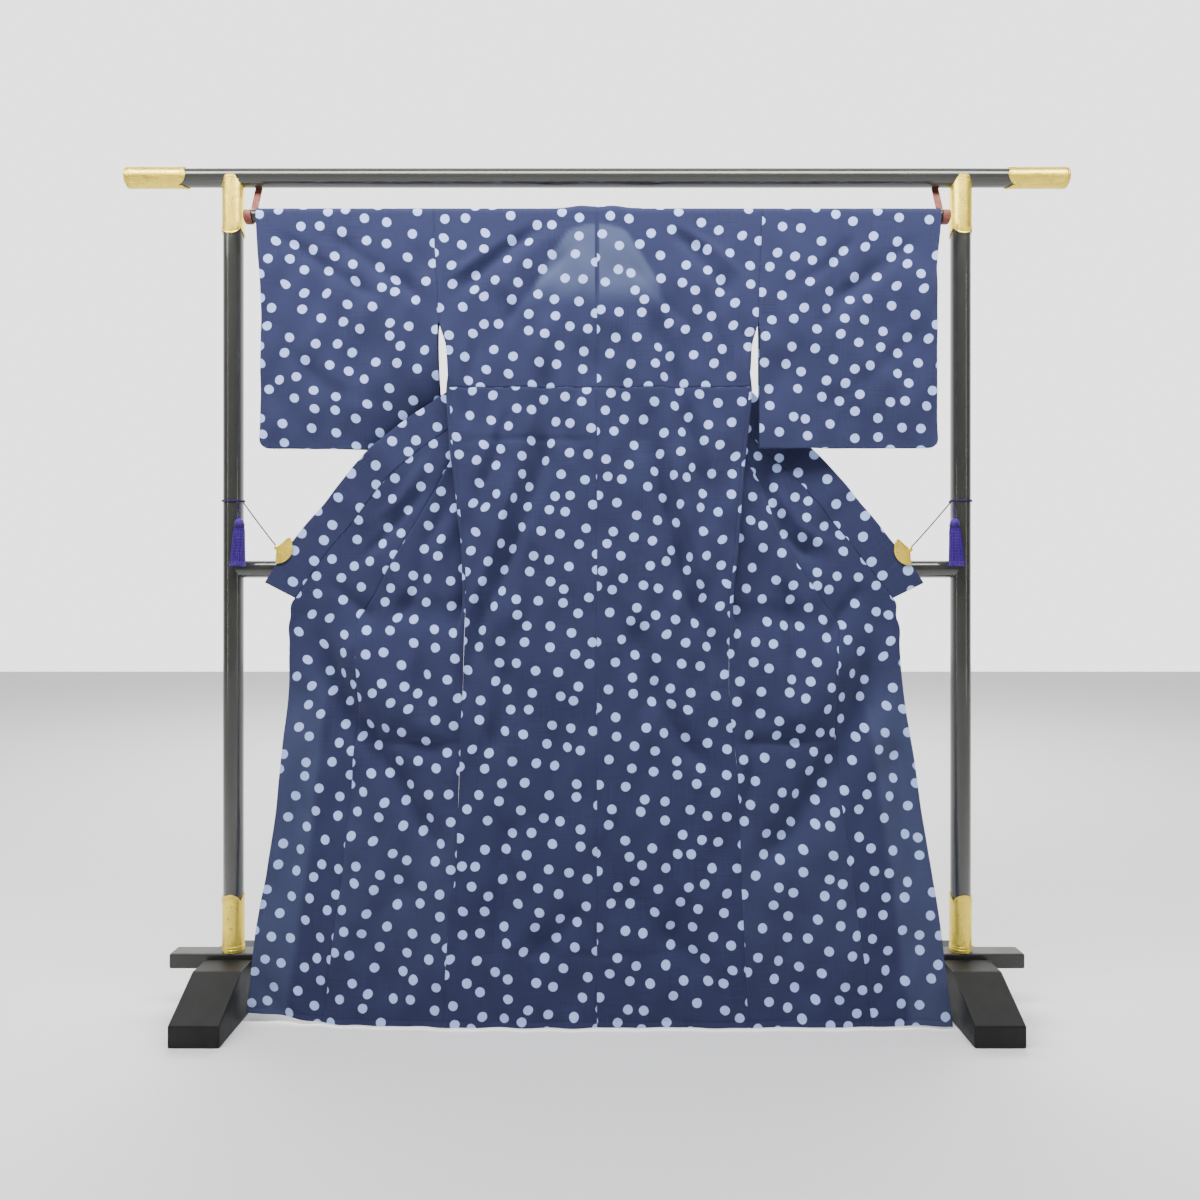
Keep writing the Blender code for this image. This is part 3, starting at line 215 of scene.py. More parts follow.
def smooth_lookup(rows, columns, name, z):
    """Value of a column at height z, on a smooth curve through the rows that never overshoots."""
    heights, values = np.array(rows)[::-1, (0, columns.index(name))].T
    z = np.clip(z, heights[0], heights[-1])
    slopes = np.diff(values) / np.diff(heights)
    tangents = np.zeros_like(values)
    same_way = slopes[:-1] * slopes[1:] > 0
    joined = slopes[:-1] + slopes[1:]
    tangents[1:-1] = np.where(same_way, 2 * slopes[:-1] * slopes[1:] / np.where(same_way, joined, 1), 0)
    tangents[0], tangents[-1] = slopes[0], slopes[-1]
    i = np.clip(np.searchsorted(heights, z) - 1, 0, len(heights) - 2)
    span = heights[i + 1] - heights[i]
    t = (z - heights[i]) / span
    return ((2 * t ** 3 - 3 * t ** 2 + 1) * values[i] + (t ** 3 - 2 * t ** 2 + t) * span * tangents[i]
            + (3 * t ** 2 - 2 * t ** 3) * values[i + 1] + (t ** 3 - t ** 2) * span * tangents[i + 1])


def back_depth(z):
    return smooth_lookup(BACK_DEPTH, BACK_COLUMNS, "y", z)


def hollow(z):
    return smooth_lookup(HOLLOW, HOLLOW_COLUMNS, "gap", z)


def fold_depth(folds, x, z):
    """Depth of all folds at the points x, z: each is a soft trough or ridge along its line."""
    total = np.zeros_like(x)
    for line, depth, width in folds:
        points = np.array(line)
        steps = np.linalg.norm(np.diff(points, axis=0), axis=1)
        starts = np.concatenate(([0.0], np.cumsum(steps)))
        nearest = np.full(x.shape, np.inf)
        along = np.zeros(x.shape)
        for i, step in enumerate(steps):
            direction = (points[i + 1] - points[i]) / step
            run = np.clip((x - points[i][0]) * direction[0] + (z - points[i][1]) * direction[1], 0, step)
            away = np.hypot(x - points[i][0] - run * direction[0], z - points[i][1] - run * direction[1])
            closer = away < nearest
            nearest = np.where(closer, away, nearest)
            along = np.where(closer, (starts[i] + run) / starts[-1], along)
        ends = smoothstep(along / FOLD_TAPER) * smoothstep((1 - along) / FOLD_TAPER)
        total += depth * (FOLD_END + (1 - FOLD_END) * ends) * np.exp(-(nearest / width) ** 2)
    return total * smoothstep((FOLD_START_Z - z) / FOLD_START_RUN)


def drape_value(side, name, z):
    rows = DRAPE_LEFT if side < 0 else DRAPE_RIGHT
    return smooth_lookup(rows, DRAPE_COLUMNS, name, z)


def front_section(side, z):
    """Follow the sheet at height z from the side seam: lengths, distances from the centre, depths
    and direction angles. Angle 0 runs outwards and pi runs inwards, behind the back."""
    s = np.arange(0.0, SECTION_LENGTH, SECTION_STEP)
    open_side = smoothstep((z - SIDE_SEAM_Z) / (SLEEVE_SEAM_Z - SIDE_SEAM_Z))
    turn_at = SIDE_TURN_AT * (1 - open_side) - 3 * SIDE_TURN * open_side
    tuck = drape_value(side, "tuck", z)
    bend_in = smoothstep((s - turn_at + SIDE_TURN) / (2 * SIDE_TURN))
    bend_out = smoothstep((s - turn_at - tuck + TUCK_TURN) / (2 * TUCK_TURN))
    strength = smoothstep(tuck / TUCK_FADE)
    angle = math.pi * strength * (bend_in - bend_out)
    start = drape_value(side, "side", z)
    out = start + np.concatenate(([0.0], np.cumsum(np.cos(angle[:-1])))) * SECTION_STEP
    step_back = np.concatenate(([0.0], np.cumsum(np.sin(angle[:-1])))) * SECTION_STEP
    step_back += open_side * hollow(z)
    edge = start + drape_value(side, "edge", z) - 2 * tuck * strength
    share = smoothstep((out - start) / max(edge - start, EDGE_LEAST))
    share = share * smoothstep((EDGE_FROM_Z - z) / EDGE_FADE)
    y = (back_depth(z) + step_back) * (1 - share) + drape_value(side, "edge_y", z) * share
    return s, out, y, angle


def corner_lift(side, out, z):
    reach = smoothstep((out - CORNER_LIFT_FROM) / CORNER_LIFT_RUN)
    return CORNER_LIFT[side] * reach * np.clip(1 - z / CORNER_LIFT_HEIGHT, 0, 1) ** 2


def place(side, out, y, z, fine=True):
    """World points of the sheet, with its folds."""
    x = side * out
    z = np.broadcast_to(z, out.shape)
    y = y + (body_relief(x, z) if fine else fold_depth(BODY_FOLDS, x, z))
    return np.stack((x, y, z + corner_lift(side, out, z)), axis=-1)


def nape_rise(x):
    """The collar under the cloth lifts it in two low humps, left and right of the centre seam."""
    humps = np.exp(-((np.abs(x) - NAPE_HUMP_X) / NAPE_HUMP_WIDTH) ** 2)
    return NAPE_RISE * (humps + NAPE_SEAM_SHARE * np.exp(-(x / NAPE_SEAM_WIDTH) ** 2))


def collar_frame(side, z, fine=True):
    """Seam point of the collar at height z, and the direction across the band to its free edge."""
    step = 0.020
    seam = []
    for level in (z + step, z, z - step):
        s, out, y, angle = front_section(side, level)
        length = drape_value(side, "edge", level)
        seam.append((np.interp(length, s, out), np.interp(length, s, y), np.interp(length, s, angle)))
    slope = max(math.atan2(seam[2][0] - seam[0][0], 2 * step), 0.0)
    turn = seam[1][2]
    across = np.array((side * math.cos(turn) * math.cos(slope), math.sin(turn),
                       math.cos(turn) * math.sin(slope)))
    base = place(side, np.array([seam[1][0]]), np.array([seam[1][1]]), z, fine)[0]
    return base, across


# ---------------------------------------------------------------- finer relief of the cloth
# Soft pressed creases and finer folds, columns: line (x, z), depth and width.
FINE_FOLDS = (
    (((-0.270, 1.118), (-0.120, 1.121), (0.010, 1.117)), 0.0016, 0.0050),
    (((-0.500, 0.536), (-0.300, 0.533), (-0.235, 0.535)), 0.0016, 0.0050),
    (((0.250, 0.536), (0.340, 0.534), (0.470, 0.537)), 0.0016, 0.0050),
    (((-0.290, 0.140), (0.000, 0.136), (0.280, 0.139)), 0.0012, 0.0060),
    (((-0.110, 1.552), (-0.200, 1.492), (-0.300, 1.425)), -0.0030, 0.0090),
    (((0.135, 1.552), (0.215, 1.500), (0.290, 1.430)), -0.0028, 0.0090),
    (((-0.155, 1.060), (-0.200, 0.905), (-0.255, 0.770)), -0.0040, 0.0120),
    (((0.125, 1.130), (0.175, 0.950), (0.225, 0.790)), -0.0035, 0.0120),
    (((-0.250, 0.700), (-0.270, 0.560), (-0.250, 0.400)), 0.0040, 0.0140),
    (((0.290, 0.640), (0.300, 0.500), (0.270, 0.340)), 0.0045, 0.0150),
    (((-0.040, 1.500), (-0.120, 1.425), (-0.190, 1.330)), 0.0030, 0.0100),
    (((-0.030, 1.330), (-0.045, 1.180), (-0.050, 1.050)), 0.0035, 0.0160),
    (((0.052, 1.360), (0.064, 1.200), (0.085, 1.060)), 0.0040, 0.0150),
    (((0.050, 1.480), (0.120, 1.400), (0.190, 1.330)), 0.0026, 0.0110),
    (((0.190, 1.430), (0.235, 1.330), (0.262, 1.230)), 0.0040, 0.0120),
    (((-0.230, 1.340), (-0.250, 1.230), (-0.258, 1.120)), 0.0040, 0.0120),
    (((-0.170, 1.190), (-0.200, 1.090), (-0.228, 1.010)), 0.0045, 0.0090),
    (((-0.130, 0.980), (-0.150, 0.860), (-0.160, 0.740)), -0.0040, 0.0160),
    (((0.035, 0.960), (0.050, 0.820), (0.060, 0.690)), 0.0040, 0.0180),
    (((-0.060, 0.640), (-0.075, 0.480), (-0.080, 0.340)), 0.0045, 0.0220),
    (((0.140, 0.400), (0.150, 0.250), (0.160, 0.120)), 0.0050, 0.0220),
    (((-0.160, 0.420), (-0.180, 0.260), (-0.190, 0.110)), 0.0050, 0.0220),
    (((-0.330, 1.040), (-0.400, 0.950), (-0.470, 0.880)), 0.0040, 0.0110),
    (((-0.320, 1.100), (-0.380, 1.010), (-0.440, 0.960)), -0.0030, 0.0120),
    (((-0.560, 0.880), (-0.500, 0.820), (-0.430, 0.760)), 0.0040, 0.0130),
    (((0.560, 0.880), (0.500, 0.810), (0.440, 0.720)), 0.0040, 0.0130),
    (((0.360, 0.860), (0.380, 0.760), (0.385, 0.660)), 0.0060, 0.0150),
    (((-0.330, 0.760), (-0.340, 0.650), (-0.335, 0.560)), 0.0050, 0.0150),
    (((-0.560, 0.560), (-0.575, 0.400), (-0.600, 0.240)), 0.0050, 0.0240),
    (((0.570, 0.560), (0.590, 0.400), (0.615, 0.220)), 0.0050, 0.0240),
    (((-0.500, 1.545), (-0.470, 1.400), (-0.460, 1.200)), 0.0022, 0.0200),
    (((-0.620, 1.300), (-0.520, 1.220), (-0.420, 1.190)), 0.0026, 0.0180),
    (((-0.380, 1.460), (-0.350, 1.380), (-0.345, 1.280)), 0.0032, 0.0130),
    (((0.480, 1.545), (0.460, 1.400), (0.470, 1.200)), 0.0022, 0.0200),
    (((0.640, 1.340), (0.540, 1.250), (0.430, 1.170)), 0.0026, 0.0180),
    (((0.560, 1.480), (0.480, 1.390), (0.420, 1.330)), 0.0028, 0.0140),
)
FINE_FOLD_GAIN, MAIN_FOLD_GAIN = 1.8, 0.30
RIPPLES, RIPPLE_SHORT, RIPPLE_LONG, RIPPLE_HEIGHT = 26, 0.045, 0.200, 0.00060
SEAM_DIP, SEAM_WIDTH = 0.0011, 0.0022      # sewn edges draw in
COLLAR_LAP = 0.0015                        # the collar covers the edge that it is sewn to
CELL = 0.006                               # spacing of the cloth's grid
CLIP_HOLDS = ((-0.588, 0.900), (0.575, 0.898))     # where the clips hold the cloth flat
CLIP_CALM, CLIP_CALM_FADE, RIPPLE_FADE = 0.070, 0.045, 0.12
HEM_LINE, HEM_THICKER, HEM_DRAWN, HEM_DRAWN_WIDTH = 0.0105, 0.0005, 0.0007, 0.0016
# Lengths that the cells across a panel are counted over, and the cells of a front.
BACK_REACH, FRONT_REACH, OKUMI_REACH, SLEEVE_REACH, FRONT_CELL = 0.290, 0.240, 0.150, 0.345, 0.004
SEAM_STEP, SEAM_STEP_RUN = 0.0008, 0.006           # the back's upper half laps over the lower one
SEAM_ALLOWANCE = 0.0035                            # double cloth beside the centre seam
# Painted light at the neck: one layer of cloth with light behind it, painted as a pale arch: its foot, its
# top at the centre seam, how fast that falls away sideways, and the fades of its foot, top and sides.
ARCH_FOOT, ARCH_TOP, ARCH_FALL = 1.375, 1.544, 4.0
ARCH_FOOT_FADE, ARCH_TOP_FADE, ARCH_SIDE_FADE = 0.065, 0.010, 0.012


def ripples(x, z):
    """Gentle unevenness of hanging cloth: waves of fixed random directions and lengths."""
    draw = np.random.default_rng(11)
    total = np.zeros_like(x)
    for _ in range(RIPPLES):
        length = draw.uniform(RIPPLE_SHORT, RIPPLE_LONG)
        angle = draw.normal(0.25, 0.55) * draw.choice((-1, 1))
        phase = draw.uniform(0, 2 * math.pi)
        across = x * math.cos(angle) + z * math.sin(angle)
        total += RIPPLE_HEIGHT * (length / 0.1) * np.sin(2 * math.pi * across / length + phase)
    return total * smoothstep((FOLD_START_Z - z) / RIPPLE_FADE)


def fine_relief(x, z, main=()):
    """Finer folds, a share of the main ones and the ripples, all calm where a clip holds the cloth."""
    relief = FINE_FOLD_GAIN * fold_depth(FINE_FOLDS, x, z)
    relief = relief + MAIN_FOLD_GAIN * fold_depth(main, x, z) + ripples(x, z)
    for clip_x, clip_z in CLIP_HOLDS:
        relief *= smoothstep((np.hypot(x - clip_x, z - clip_z) - CLIP_CALM) / CLIP_CALM_FADE)
    return relief


def body_relief(x, z):
    return fold_depth(BODY_FOLDS, x, z) + fine_relief(x, z, BODY_FOLDS)


def sleeve_relief(x, z):
    return fold_depth(SLEEVE_FOLDS, x, z) + fine_relief(x, z)


def unit(vectors):
    return vectors / np.maximum(np.linalg.norm(vectors, axis=-1, keepdims=True), 1e-12)


def outward_normals(points, side):
    """Directions out of the right side of the cloth, which faces the viewer where it hangs flat."""
    down, across = np.gradient(points, axis=0), np.gradient(points, axis=1)
    return unit(np.cross(down, across)) * side


def even_steps(start, end, step, fine=()):
    """Places from start to end about a step apart, with finer ones at these distances from both ends."""
    count = max(int(round((end - start) / step)), 1)
    places = list(np.linspace(start, end, count + 1))
    clear = max(fine, default=0.0) + step / 2
    inner = [p for p in places if start + clear < p < end - clear]
    return np.array(sorted({start, end, *inner, *(start + f for f in fine), *(end - f for f in fine)}))


EDGE_STEPS = (0.0008, 0.0018, 0.0030, 0.0048, 0.0075, 0.0110)


def body_levels(top=ROD_Z, bottom=HEM_Z):
    """Heights of the cloth's rows, close together at the hem and at the waist seam."""
    levels = even_steps(bottom, top, CELL)
    seam = WAIST_SEAM_Z + np.array((-0.006, -0.003, -0.0014, -0.0004, 0.0004, 0.0014, 0.003, 0.006))
    hem = bottom + np.array((0.0008, 0.002, 0.0085, 0.0100, 0.0115, 0.0140))
    clear = np.abs(levels - WAIST_SEAM_Z) > 0.008
    levels = levels[clear & ((levels > bottom + 0.016) | (levels == bottom))]
    extra = [z for z in (*seam, *hem) if bottom < z < top]
    return np.array(sorted({*levels, *extra}, reverse=True))


def edge_dip(distance):
    return SEAM_DIP * np.exp(-(distance / SEAM_WIDTH) ** 2)


def hem_relief(distance, width=HEM_LINE):
    """A turned edge: a little thicker up to its line of stitches, which draws in."""
    turned = HEM_THICKER * smoothstep((width - distance) / 0.002)
    return turned - HEM_DRAWN * np.exp(-((distance - width) / HEM_DRAWN_WIDTH) ** 2)


def path_run(path):
    """Distance along a path at each of its points."""
    return np.concatenate(([0.0], np.cumsum(np.linalg.norm(np.diff(path, axis=0), axis=1))))


def cloth_lengths(points):
    """Distances over the cloth along its rows, and down its middle."""
    steps = np.linalg.norm(np.diff(points, axis=1), axis=-1)
    along = np.concatenate((np.zeros((len(points), 1)), np.cumsum(steps, axis=1)), axis=1)
    drops = np.linalg.norm(np.diff(points, axis=0), axis=-1).mean(axis=1)
    down = np.concatenate(([0.0], np.cumsum(drops)))
    return along, np.broadcast_to(down[:, None], along.shape)


def hanging_lengths(side, points, first=0, start=0.0):
    """Distances over a front sheet, set so that its print stays level and upright on the layer that shows."""
    u, v = cloth_lengths(points)
    z = points[:, 0, 2]
    tuck = drape_value(side, "tuck", z)
    u = u + (drape_value(side, "side", z) + start - 2 * tuck * smoothstep(tuck / TUCK_FADE))[:, None]
    v = np.where(np.arange(len(v))[:, None] < first, v, v[first, 0] + (z[first] - z)[:, None])
    return u, np.broadcast_to(v, u.shape)


def over_rod(row, start_angle, end_angle, rise, radius=CLOTH_RADIUS, steps=7):
    """Rows of cloth bent over the rod, above the row that is level with its middle."""
    angles = np.linspace(start_angle, end_angle, steps + 1)[:-1]
    rows = []
    for angle in angles:
        reach = radius + rise * math.sin(angle) ** 2
        bent = row.copy()
        bent[:, 1] = ROD_Y + reach * math.cos(angle)
        bent[:, 2] = ROD_Z + reach * math.sin(angle)
        rows.append(bent)
    return rows


# ---------------------------------------------------------------- meshes
def linked(name, data):
    """New object with this data, in the scene."""
    obj = bpy.data.objects.new(name, data)
    bpy.context.scene.collection.objects.link(obj)
    return obj


def evaluated_mesh(obj):
    """Plain mesh of the object with its modifiers."""
    graph = bpy.context.evaluated_depsgraph_get()
    return bpy.data.meshes.new_from_object(obj.evaluated_get(graph))


def mesh_object(name, verts, faces, uv=None, values=None, smooth=True):
    """Object of these vertices and faces; uv and values have one entry for each vertex."""
    mesh = bpy.data.meshes.new(name)
    mesh.from_pydata(np.asarray(verts).reshape(-1, 3).tolist(), [], faces)
    if uv is not None:
        layer = mesh.uv_layers.new(name="Cloth")
        corners = np.empty(len(mesh.loops), dtype=np.int32)
        mesh.loops.foreach_get("vertex_index", corners)
        layer.data.foreach_set("uv", np.asarray(uv, float).reshape(-1, 2)[corners].ravel())
    for key, data in (values or {}).items():
        attribute = mesh.attributes.new(key, "FLOAT", "POINT")
        attribute.data.foreach_set("value", np.asarray(data, np.float32).ravel())
    if smooth:
        mesh.shade_smooth()
    return linked(name, mesh)


def ring_ends(rows, columns):
    """Faces that close the first and the last ring of a tube."""
    return [tuple(range(columns)), tuple((rows - 1) * columns + c for c in range(columns))]


def grid_faces(rows, columns, start=0, flip=False, wrap=False):
    """Quads between the rows of a grid; wrap joins its last column to its first."""
    faces = []
    for r in range(rows - 1):
        for c in range(columns if wrap else columns - 1):
            a = start + r * columns + c
            b = start + r * columns + (c + 1) % columns
            quad = (a, a + columns, b + columns, b)
            faces.append(quad[::-1] if flip else quad)
    return faces


def turn_outwards(obj, merge=True):
    """Normals of a closed shape turned outwards, once its doubles are merged."""
    work = bmesh.new()
    work.from_mesh(obj.data)
    if merge:
        bmesh.ops.remove_doubles(work, verts=work.verts, dist=MERGE_DISTANCE)
    bmesh.ops.recalc_face_normals(work, faces=work.faces)
    work.to_mesh(obj.data)
    work.free()
    return obj


def closed_band(name, points, uv=None, values=None, merge=True):
    """Tube through rings of points, closed at both ends."""
    rows, columns = points.shape[:2]
    faces = grid_faces(rows, columns, wrap=True) + ring_ends(rows, columns)
    return turn_outwards(mesh_object(name, points, faces, uv, values), merge)


def thicken(obj, thickness, offset=0.0):
    shell = obj.modifiers.new("Cloth thickness", "SOLIDIFY")
    shell.thickness = thickness
    shell.offset = offset
    return obj


def finish_piece(obj, material, nodes, rides_on="root"):
    """Material, body and the solids that the piece stands for."""
    obj.data.materials.clear()
    obj.data.materials.append(material)
    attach(obj, rides_on)
    if nodes:
        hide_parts(*nodes)
    return obj


# ---------------------------------------------------------------- robe panels
SIDES = ((-1, "left"), (1, "right"))
# Where each panel lies on the printed cloth: columns panel, u, v.
PRINT_PLACES = {"body_left": (0.31, 0.17), "body_right": (1.27, 0.62), "okumi_left": (2.11, 0.43),
                "okumi_right": (3.23, 0.29), "sleeve_left": (4.07, 0.91), "sleeve_right": (5.18, 0.37),
                "collar_left": (6.29, 0.57), "collar_right": (7.13, 0.83), "nape": (8.05, 0.21)}


def world_row(side, out, y, z, relief):
    """Row of points at the height z, with the relief of its part of the robe."""
    x, level = side * out, np.full(out.shape, z)
    return np.stack((x, y + relief(x, level), level), axis=-1)


def panel_object(name, panel, points, u, v, side, single=None):
    """Sheet over a grid of points, with its place on the printed cloth."""
    rows, columns = points.shape[:2]
    single = np.zeros(u.shape) if single is None else single
    return mesh_object("robe_" + name, points, grid_faces(rows, columns, flip=side < 0), printed(panel, u, v),
                       {"single": single})


def printed(panel, u, v):
    place_u, place_v = PRINT_PLACES[panel]
    return np.stack((u + place_u, v + place_v), axis=-1)


def back_points(side):
    """Rows of the back panel, and the painted light where it shows one layer of cloth only with light behind
    it.
    """
    rows, single = [], []
    for z in body_levels():
        width = drape_value(side, "side", z)
        out = width * (even_steps(0.0, BACK_REACH, CELL, EDGE_STEPS) / BACK_REACH)
        above = z - WAIST_SEAM_Z
        lap = SEAM_STEP * smoothstep(above / 0.001) * smoothstep((SEAM_STEP_RUN - above) / SEAM_STEP_RUN)
        seams = edge_dip(np.minimum(out, width - out)) + edge_dip(above) - lap
        rows.append(world_row(side, out, back_depth(z) + seams - hem_relief(z - HEM_Z), z, body_relief))
        # Painted light: the pale arch at the neck, where one layer of cloth shows light behind it.
        tuck = drape_value(side, "tuck", z)
        tuck *= smoothstep(tuck / TUCK_FADE)
        opening = smoothstep((width - tuck - out) / ARCH_SIDE_FADE + 0.5)
        opening = opening * smoothstep((out - SEAM_ALLOWANCE) / 0.0015)
        top = smoothstep((ARCH_TOP - ARCH_FALL * out ** 2 - z) / ARCH_TOP_FADE)
        single.append(opening * smoothstep((z - ARCH_FOOT) / ARCH_FOOT_FADE) * top)
    top = over_rod(rows[0], math.pi / 2, math.pi, nape_rise(rows[0][:, 0]))
    return np.array(top + rows), np.array([np.zeros(len(rows[0]))] * len(top) + single)


def make_back(side, word, thickness):
    points, single = back_points(side)
    u, v = cloth_lengths(points)
    below = points[..., 2] < WAIST_SEAM_Z
    v = -v - WAIST_TUCK * below
    obj = panel_object("back_" + word, "body_" + word, points, side * u, v, side, single)
    return thicken(obj, thickness), u[:, -1].mean()


def front_lengths(side, z, overlap):
    """Cloth lengths of the columns of a front panel, or of the overlap panel beyond it."""
    edge = drape_value(side, "edge", z)
    seam = min(edge, drape_value(side, "front", z))
    if overlap:
        return seam + (edge - seam) * even_steps(0.0, OKUMI_REACH, CELL, EDGE_STEPS) / OKUMI_REACH
    return seam * even_steps(0.0, FRONT_REACH, FRONT_CELL, EDGE_STEPS) / FRONT_REACH


def sheet_row(side, z, lengths, lift=0.0):
    """World points of the front sheet at the height z, at these lengths from the side seam."""
    s, out, y, _ = front_section(side, z)
    return place(side, np.interp(lengths, s, out), np.interp(lengths, s, y) - lift, z)


def front_sheet(side, overlap):
    """Points of a front panel, or of the overlap panel beyond it."""
    levels = body_levels(top=OKUMI_TIP_Z if overlap else ROD_Z)
    reach = np.array([front_lengths(side, z, overlap) for z in levels])
    points = np.array([sheet_row(side, z, lengths) for z, lengths in zip(levels, reach)])
    start, end = reach[:, :1], reach[:, -1:]
    free = overlap * smoothstep((COLLAR_END_Z - levels) / 0.01)[:, None]       # open front edge
    dip = edge_dip(reach - start) + edge_dip(end - reach) * (1 - free)
    turned = hem_relief(end - reach, 0.008) * free + hem_relief(levels - HEM_Z)[:, None]
    return points + outward_normals(points, side) * (turned - dip)[..., None]


def make_front(side, word, thickness, shoulder_u):
    points = front_sheet(side, False)
    top = over_rod(points[0], math.pi / 2, 0.0, np.zeros(points.shape[1]))
    points = np.array(top + list(points))
    u, v = hanging_lengths(side, points, len(top))
    # Painted light: a pale band on the front near the hem.
    single = smoothstep((0.25 - np.abs(points[..., 2] - 0.25)) / 0.2) * 0.15       # light near the hem
    u = side * (shoulder_u - u)
    return thicken(panel_object("front_" + word, "body_" + word, points, u, v, side, single), thickness)


def make_okumi(side, word, thickness):
    points = front_sheet(side, True)
    run = cloth_lengths(points)[0]
    u, v = hanging_lengths(side, points, start=drape_value(side, "front", points[:, 0, 2]))
    share = run / np.maximum(run[:, -1:], 1e-6)
    # Painted light: a pale band along the overlap panel's outer part, below the collar's end.
    light = smoothstep((share - 0.42) / 0.12) * smoothstep((COLLAR_END_Z - 0.08 - points[..., 2]) / 0.2)
    return thicken(panel_object("okumi_" + word, "okumi_" + word, points, side * u, -v, side, 0.45 * light),
                   thickness)


def sleeve_levels(bottom):
    corner = bottom + SLEEVE_CORNER_R * np.array((0.0, 0.04, 0.12, 0.25, 0.42, 0.65, 1.0))
    straight = even_steps(bottom + SLEEVE_CORNER_R, ROD_Z, CELL)
    return np.array(sorted({*corner, *straight}, reverse=True))


def sleeve_wall(side, front):
    """Rows of one wall from the rod down; both walls close at the bottom and below the cuff."""
    inner_low, outer_top, outer_low, outer_low_z, bottom = SLEEVE_LEFT if side < 0 else SLEEVE_RIGHT
    rows = []
    for z in sleeve_levels(bottom):
        sewn = smoothstep((z - SLEEVE_SEAM_Z + 0.012) / 0.012)
        inner = inner_low + (drape_value(side, "side", z) + GAP - inner_low) * sewn
        outer = outer_low + (outer_top - outer_low) * smoothstep((z - outer_low_z) / (ROD_Z - outer_low_z))
        below = max(SLEEVE_CORNER_R - (z - bottom), 0.0)
        outer -= SLEEVE_CORNER_R - math.sqrt(max(SLEEVE_CORNER_R ** 2 - below ** 2, 0.0))
        out = inner + (outer - inner) * (even_steps(0.0, SLEEVE_REACH, CELL, EDGE_STEPS) / SLEEVE_REACH)
        y = back_depth(z) + edge_dip(out - inner) * sewn * (-1 if front else 1)
        if front:
            shut = smoothstep((z - bottom) / SLEEVE_CLOSE)
            if z < CUFF_LOW_Z:
                shut = shut * smoothstep((outer - out) / SLEEVE_CLOSE)
            y = y + CLOTH_WALL + GAP + (hollow(z) - CLOTH_WALL - GAP) * shut
        rows.append(world_row(side, out, y, z, sleeve_relief))
    return rows


def make_sleeve(side, word, thickness):
    """One cloth from the front's bottom edge over the rod to the back's, closed along its seams."""
    front, back = sleeve_wall(side, True), sleeve_wall(side, False)
    flat = np.zeros(len(front[0]))
    over_front = over_rod(front[0], math.pi / 2, 0.0, flat)
    over_back = over_rod(back[0], math.pi / 2, math.pi, flat)
    points = np.array(front[::-1] + over_front[:0:-1] + over_back + back)
    u, v = cloth_lengths(points)
    edge = u[:, -1:] - u
    bottom = points[0, 0, 2]
    turned = hem_relief(edge, 0.007) + hem_relief(points[..., 2] - bottom, 0.009) * 0.6
    points = points + outward_normals(points, side) * turned[..., None]
    rows, columns = points.shape[:2]
    faces = grid_faces(rows, columns, flip=side < 0)
    levels = sleeve_levels(bottom)
    closing = []
    for i in range(len(levels) - 1):                       # i counts rows up from the bottom
        if levels[::-1][i + 1] < CUFF_LOW_Z:
            a, b = i * columns + columns - 1, (i + 1) * columns + columns - 1
            c, d = (rows - 1 - i) * columns + columns - 1, (rows - 2 - i) * columns + columns - 1
            closing.append((a, b, d, c))
    for c in range(columns - 1):
        last = (rows - 1) * columns
        closing.append((c + 1, c, last + c, last + c + 1)[::-1])
    faces += [face if side > 0 else face[::-1] for face in closing]
    obj = mesh_object("robe_sleeve_" + word, points, faces, printed("sleeve_" + word, side * u, -v),
                      {"single": np.zeros(u.shape)})
    return thicken(obj, thickness), points


def rounded_section(count=20, flatness=0.22):
    """Unit outline of a folded band: across from -1 to 1, and its thickness."""
    t = 2 * math.pi * (np.arange(count) + 0.5) / count
    across = np.sign(np.cos(t)) * np.abs(np.cos(t)) ** 0.55
    return across, np.sign(np.sin(t)) * np.abs(np.sin(t)) ** flatness


def make_collar(side, word):
    """Folded band from the nape down to its square end."""
    heights = even_steps(COLLAR_END_Z, COLLAR_TOP_Z, CELL, (0.001, 0.003))[::-1]
    frames = [collar_frame(side, z) for z in heights]
    bases = np.array([f[0] for f in frames])
    across = np.array([f[1] for f in frames])
    normals = unit(np.cross(np.gradient(bases, axis=0), across)) * side
    share = (COLLAR_TOP_Z - heights) / (COLLAR_TOP_Z - COLLAR_END_Z)
    width = COLLAR_WIDTH_TOP + (COLLAR_WIDTH_END - COLLAR_WIDTH_TOP) * share
    seam = np.full(len(heights), -COLLAR_LAP)
    run = path_run(bases)
    section_out, section_thick = rounded_section()
    reach = seam[:, None] + (width - seam)[:, None] * (section_out + 1) / 2
    pull = 0.0003 * np.sin(2 * math.pi * run / 0.013 + 2 * np.sin(run / 0.031))[:, None] \
        * np.exp(-(section_out + 1) / 0.25)
    thick = COLLAR_WALL / 2 * section_thick * (0.86 + 0.10 * np.sin(run / 0.043)[:, None] ** 2) + pull
    points = bases[:, None] + across[:, None] * reach[..., None] + normals[:, None] * thick[..., None]
    u = np.broadcast_to(np.where(section_thick > 0, section_out, 4 - section_out) * 0.03, points.shape[:2])
    v = np.broadcast_to(-run[:, None], u.shape)
    return closed_band("robe_collar_" + word, points, printed("collar_" + word, u, v),
                       {"single": np.zeros(u.shape)}, merge=False)


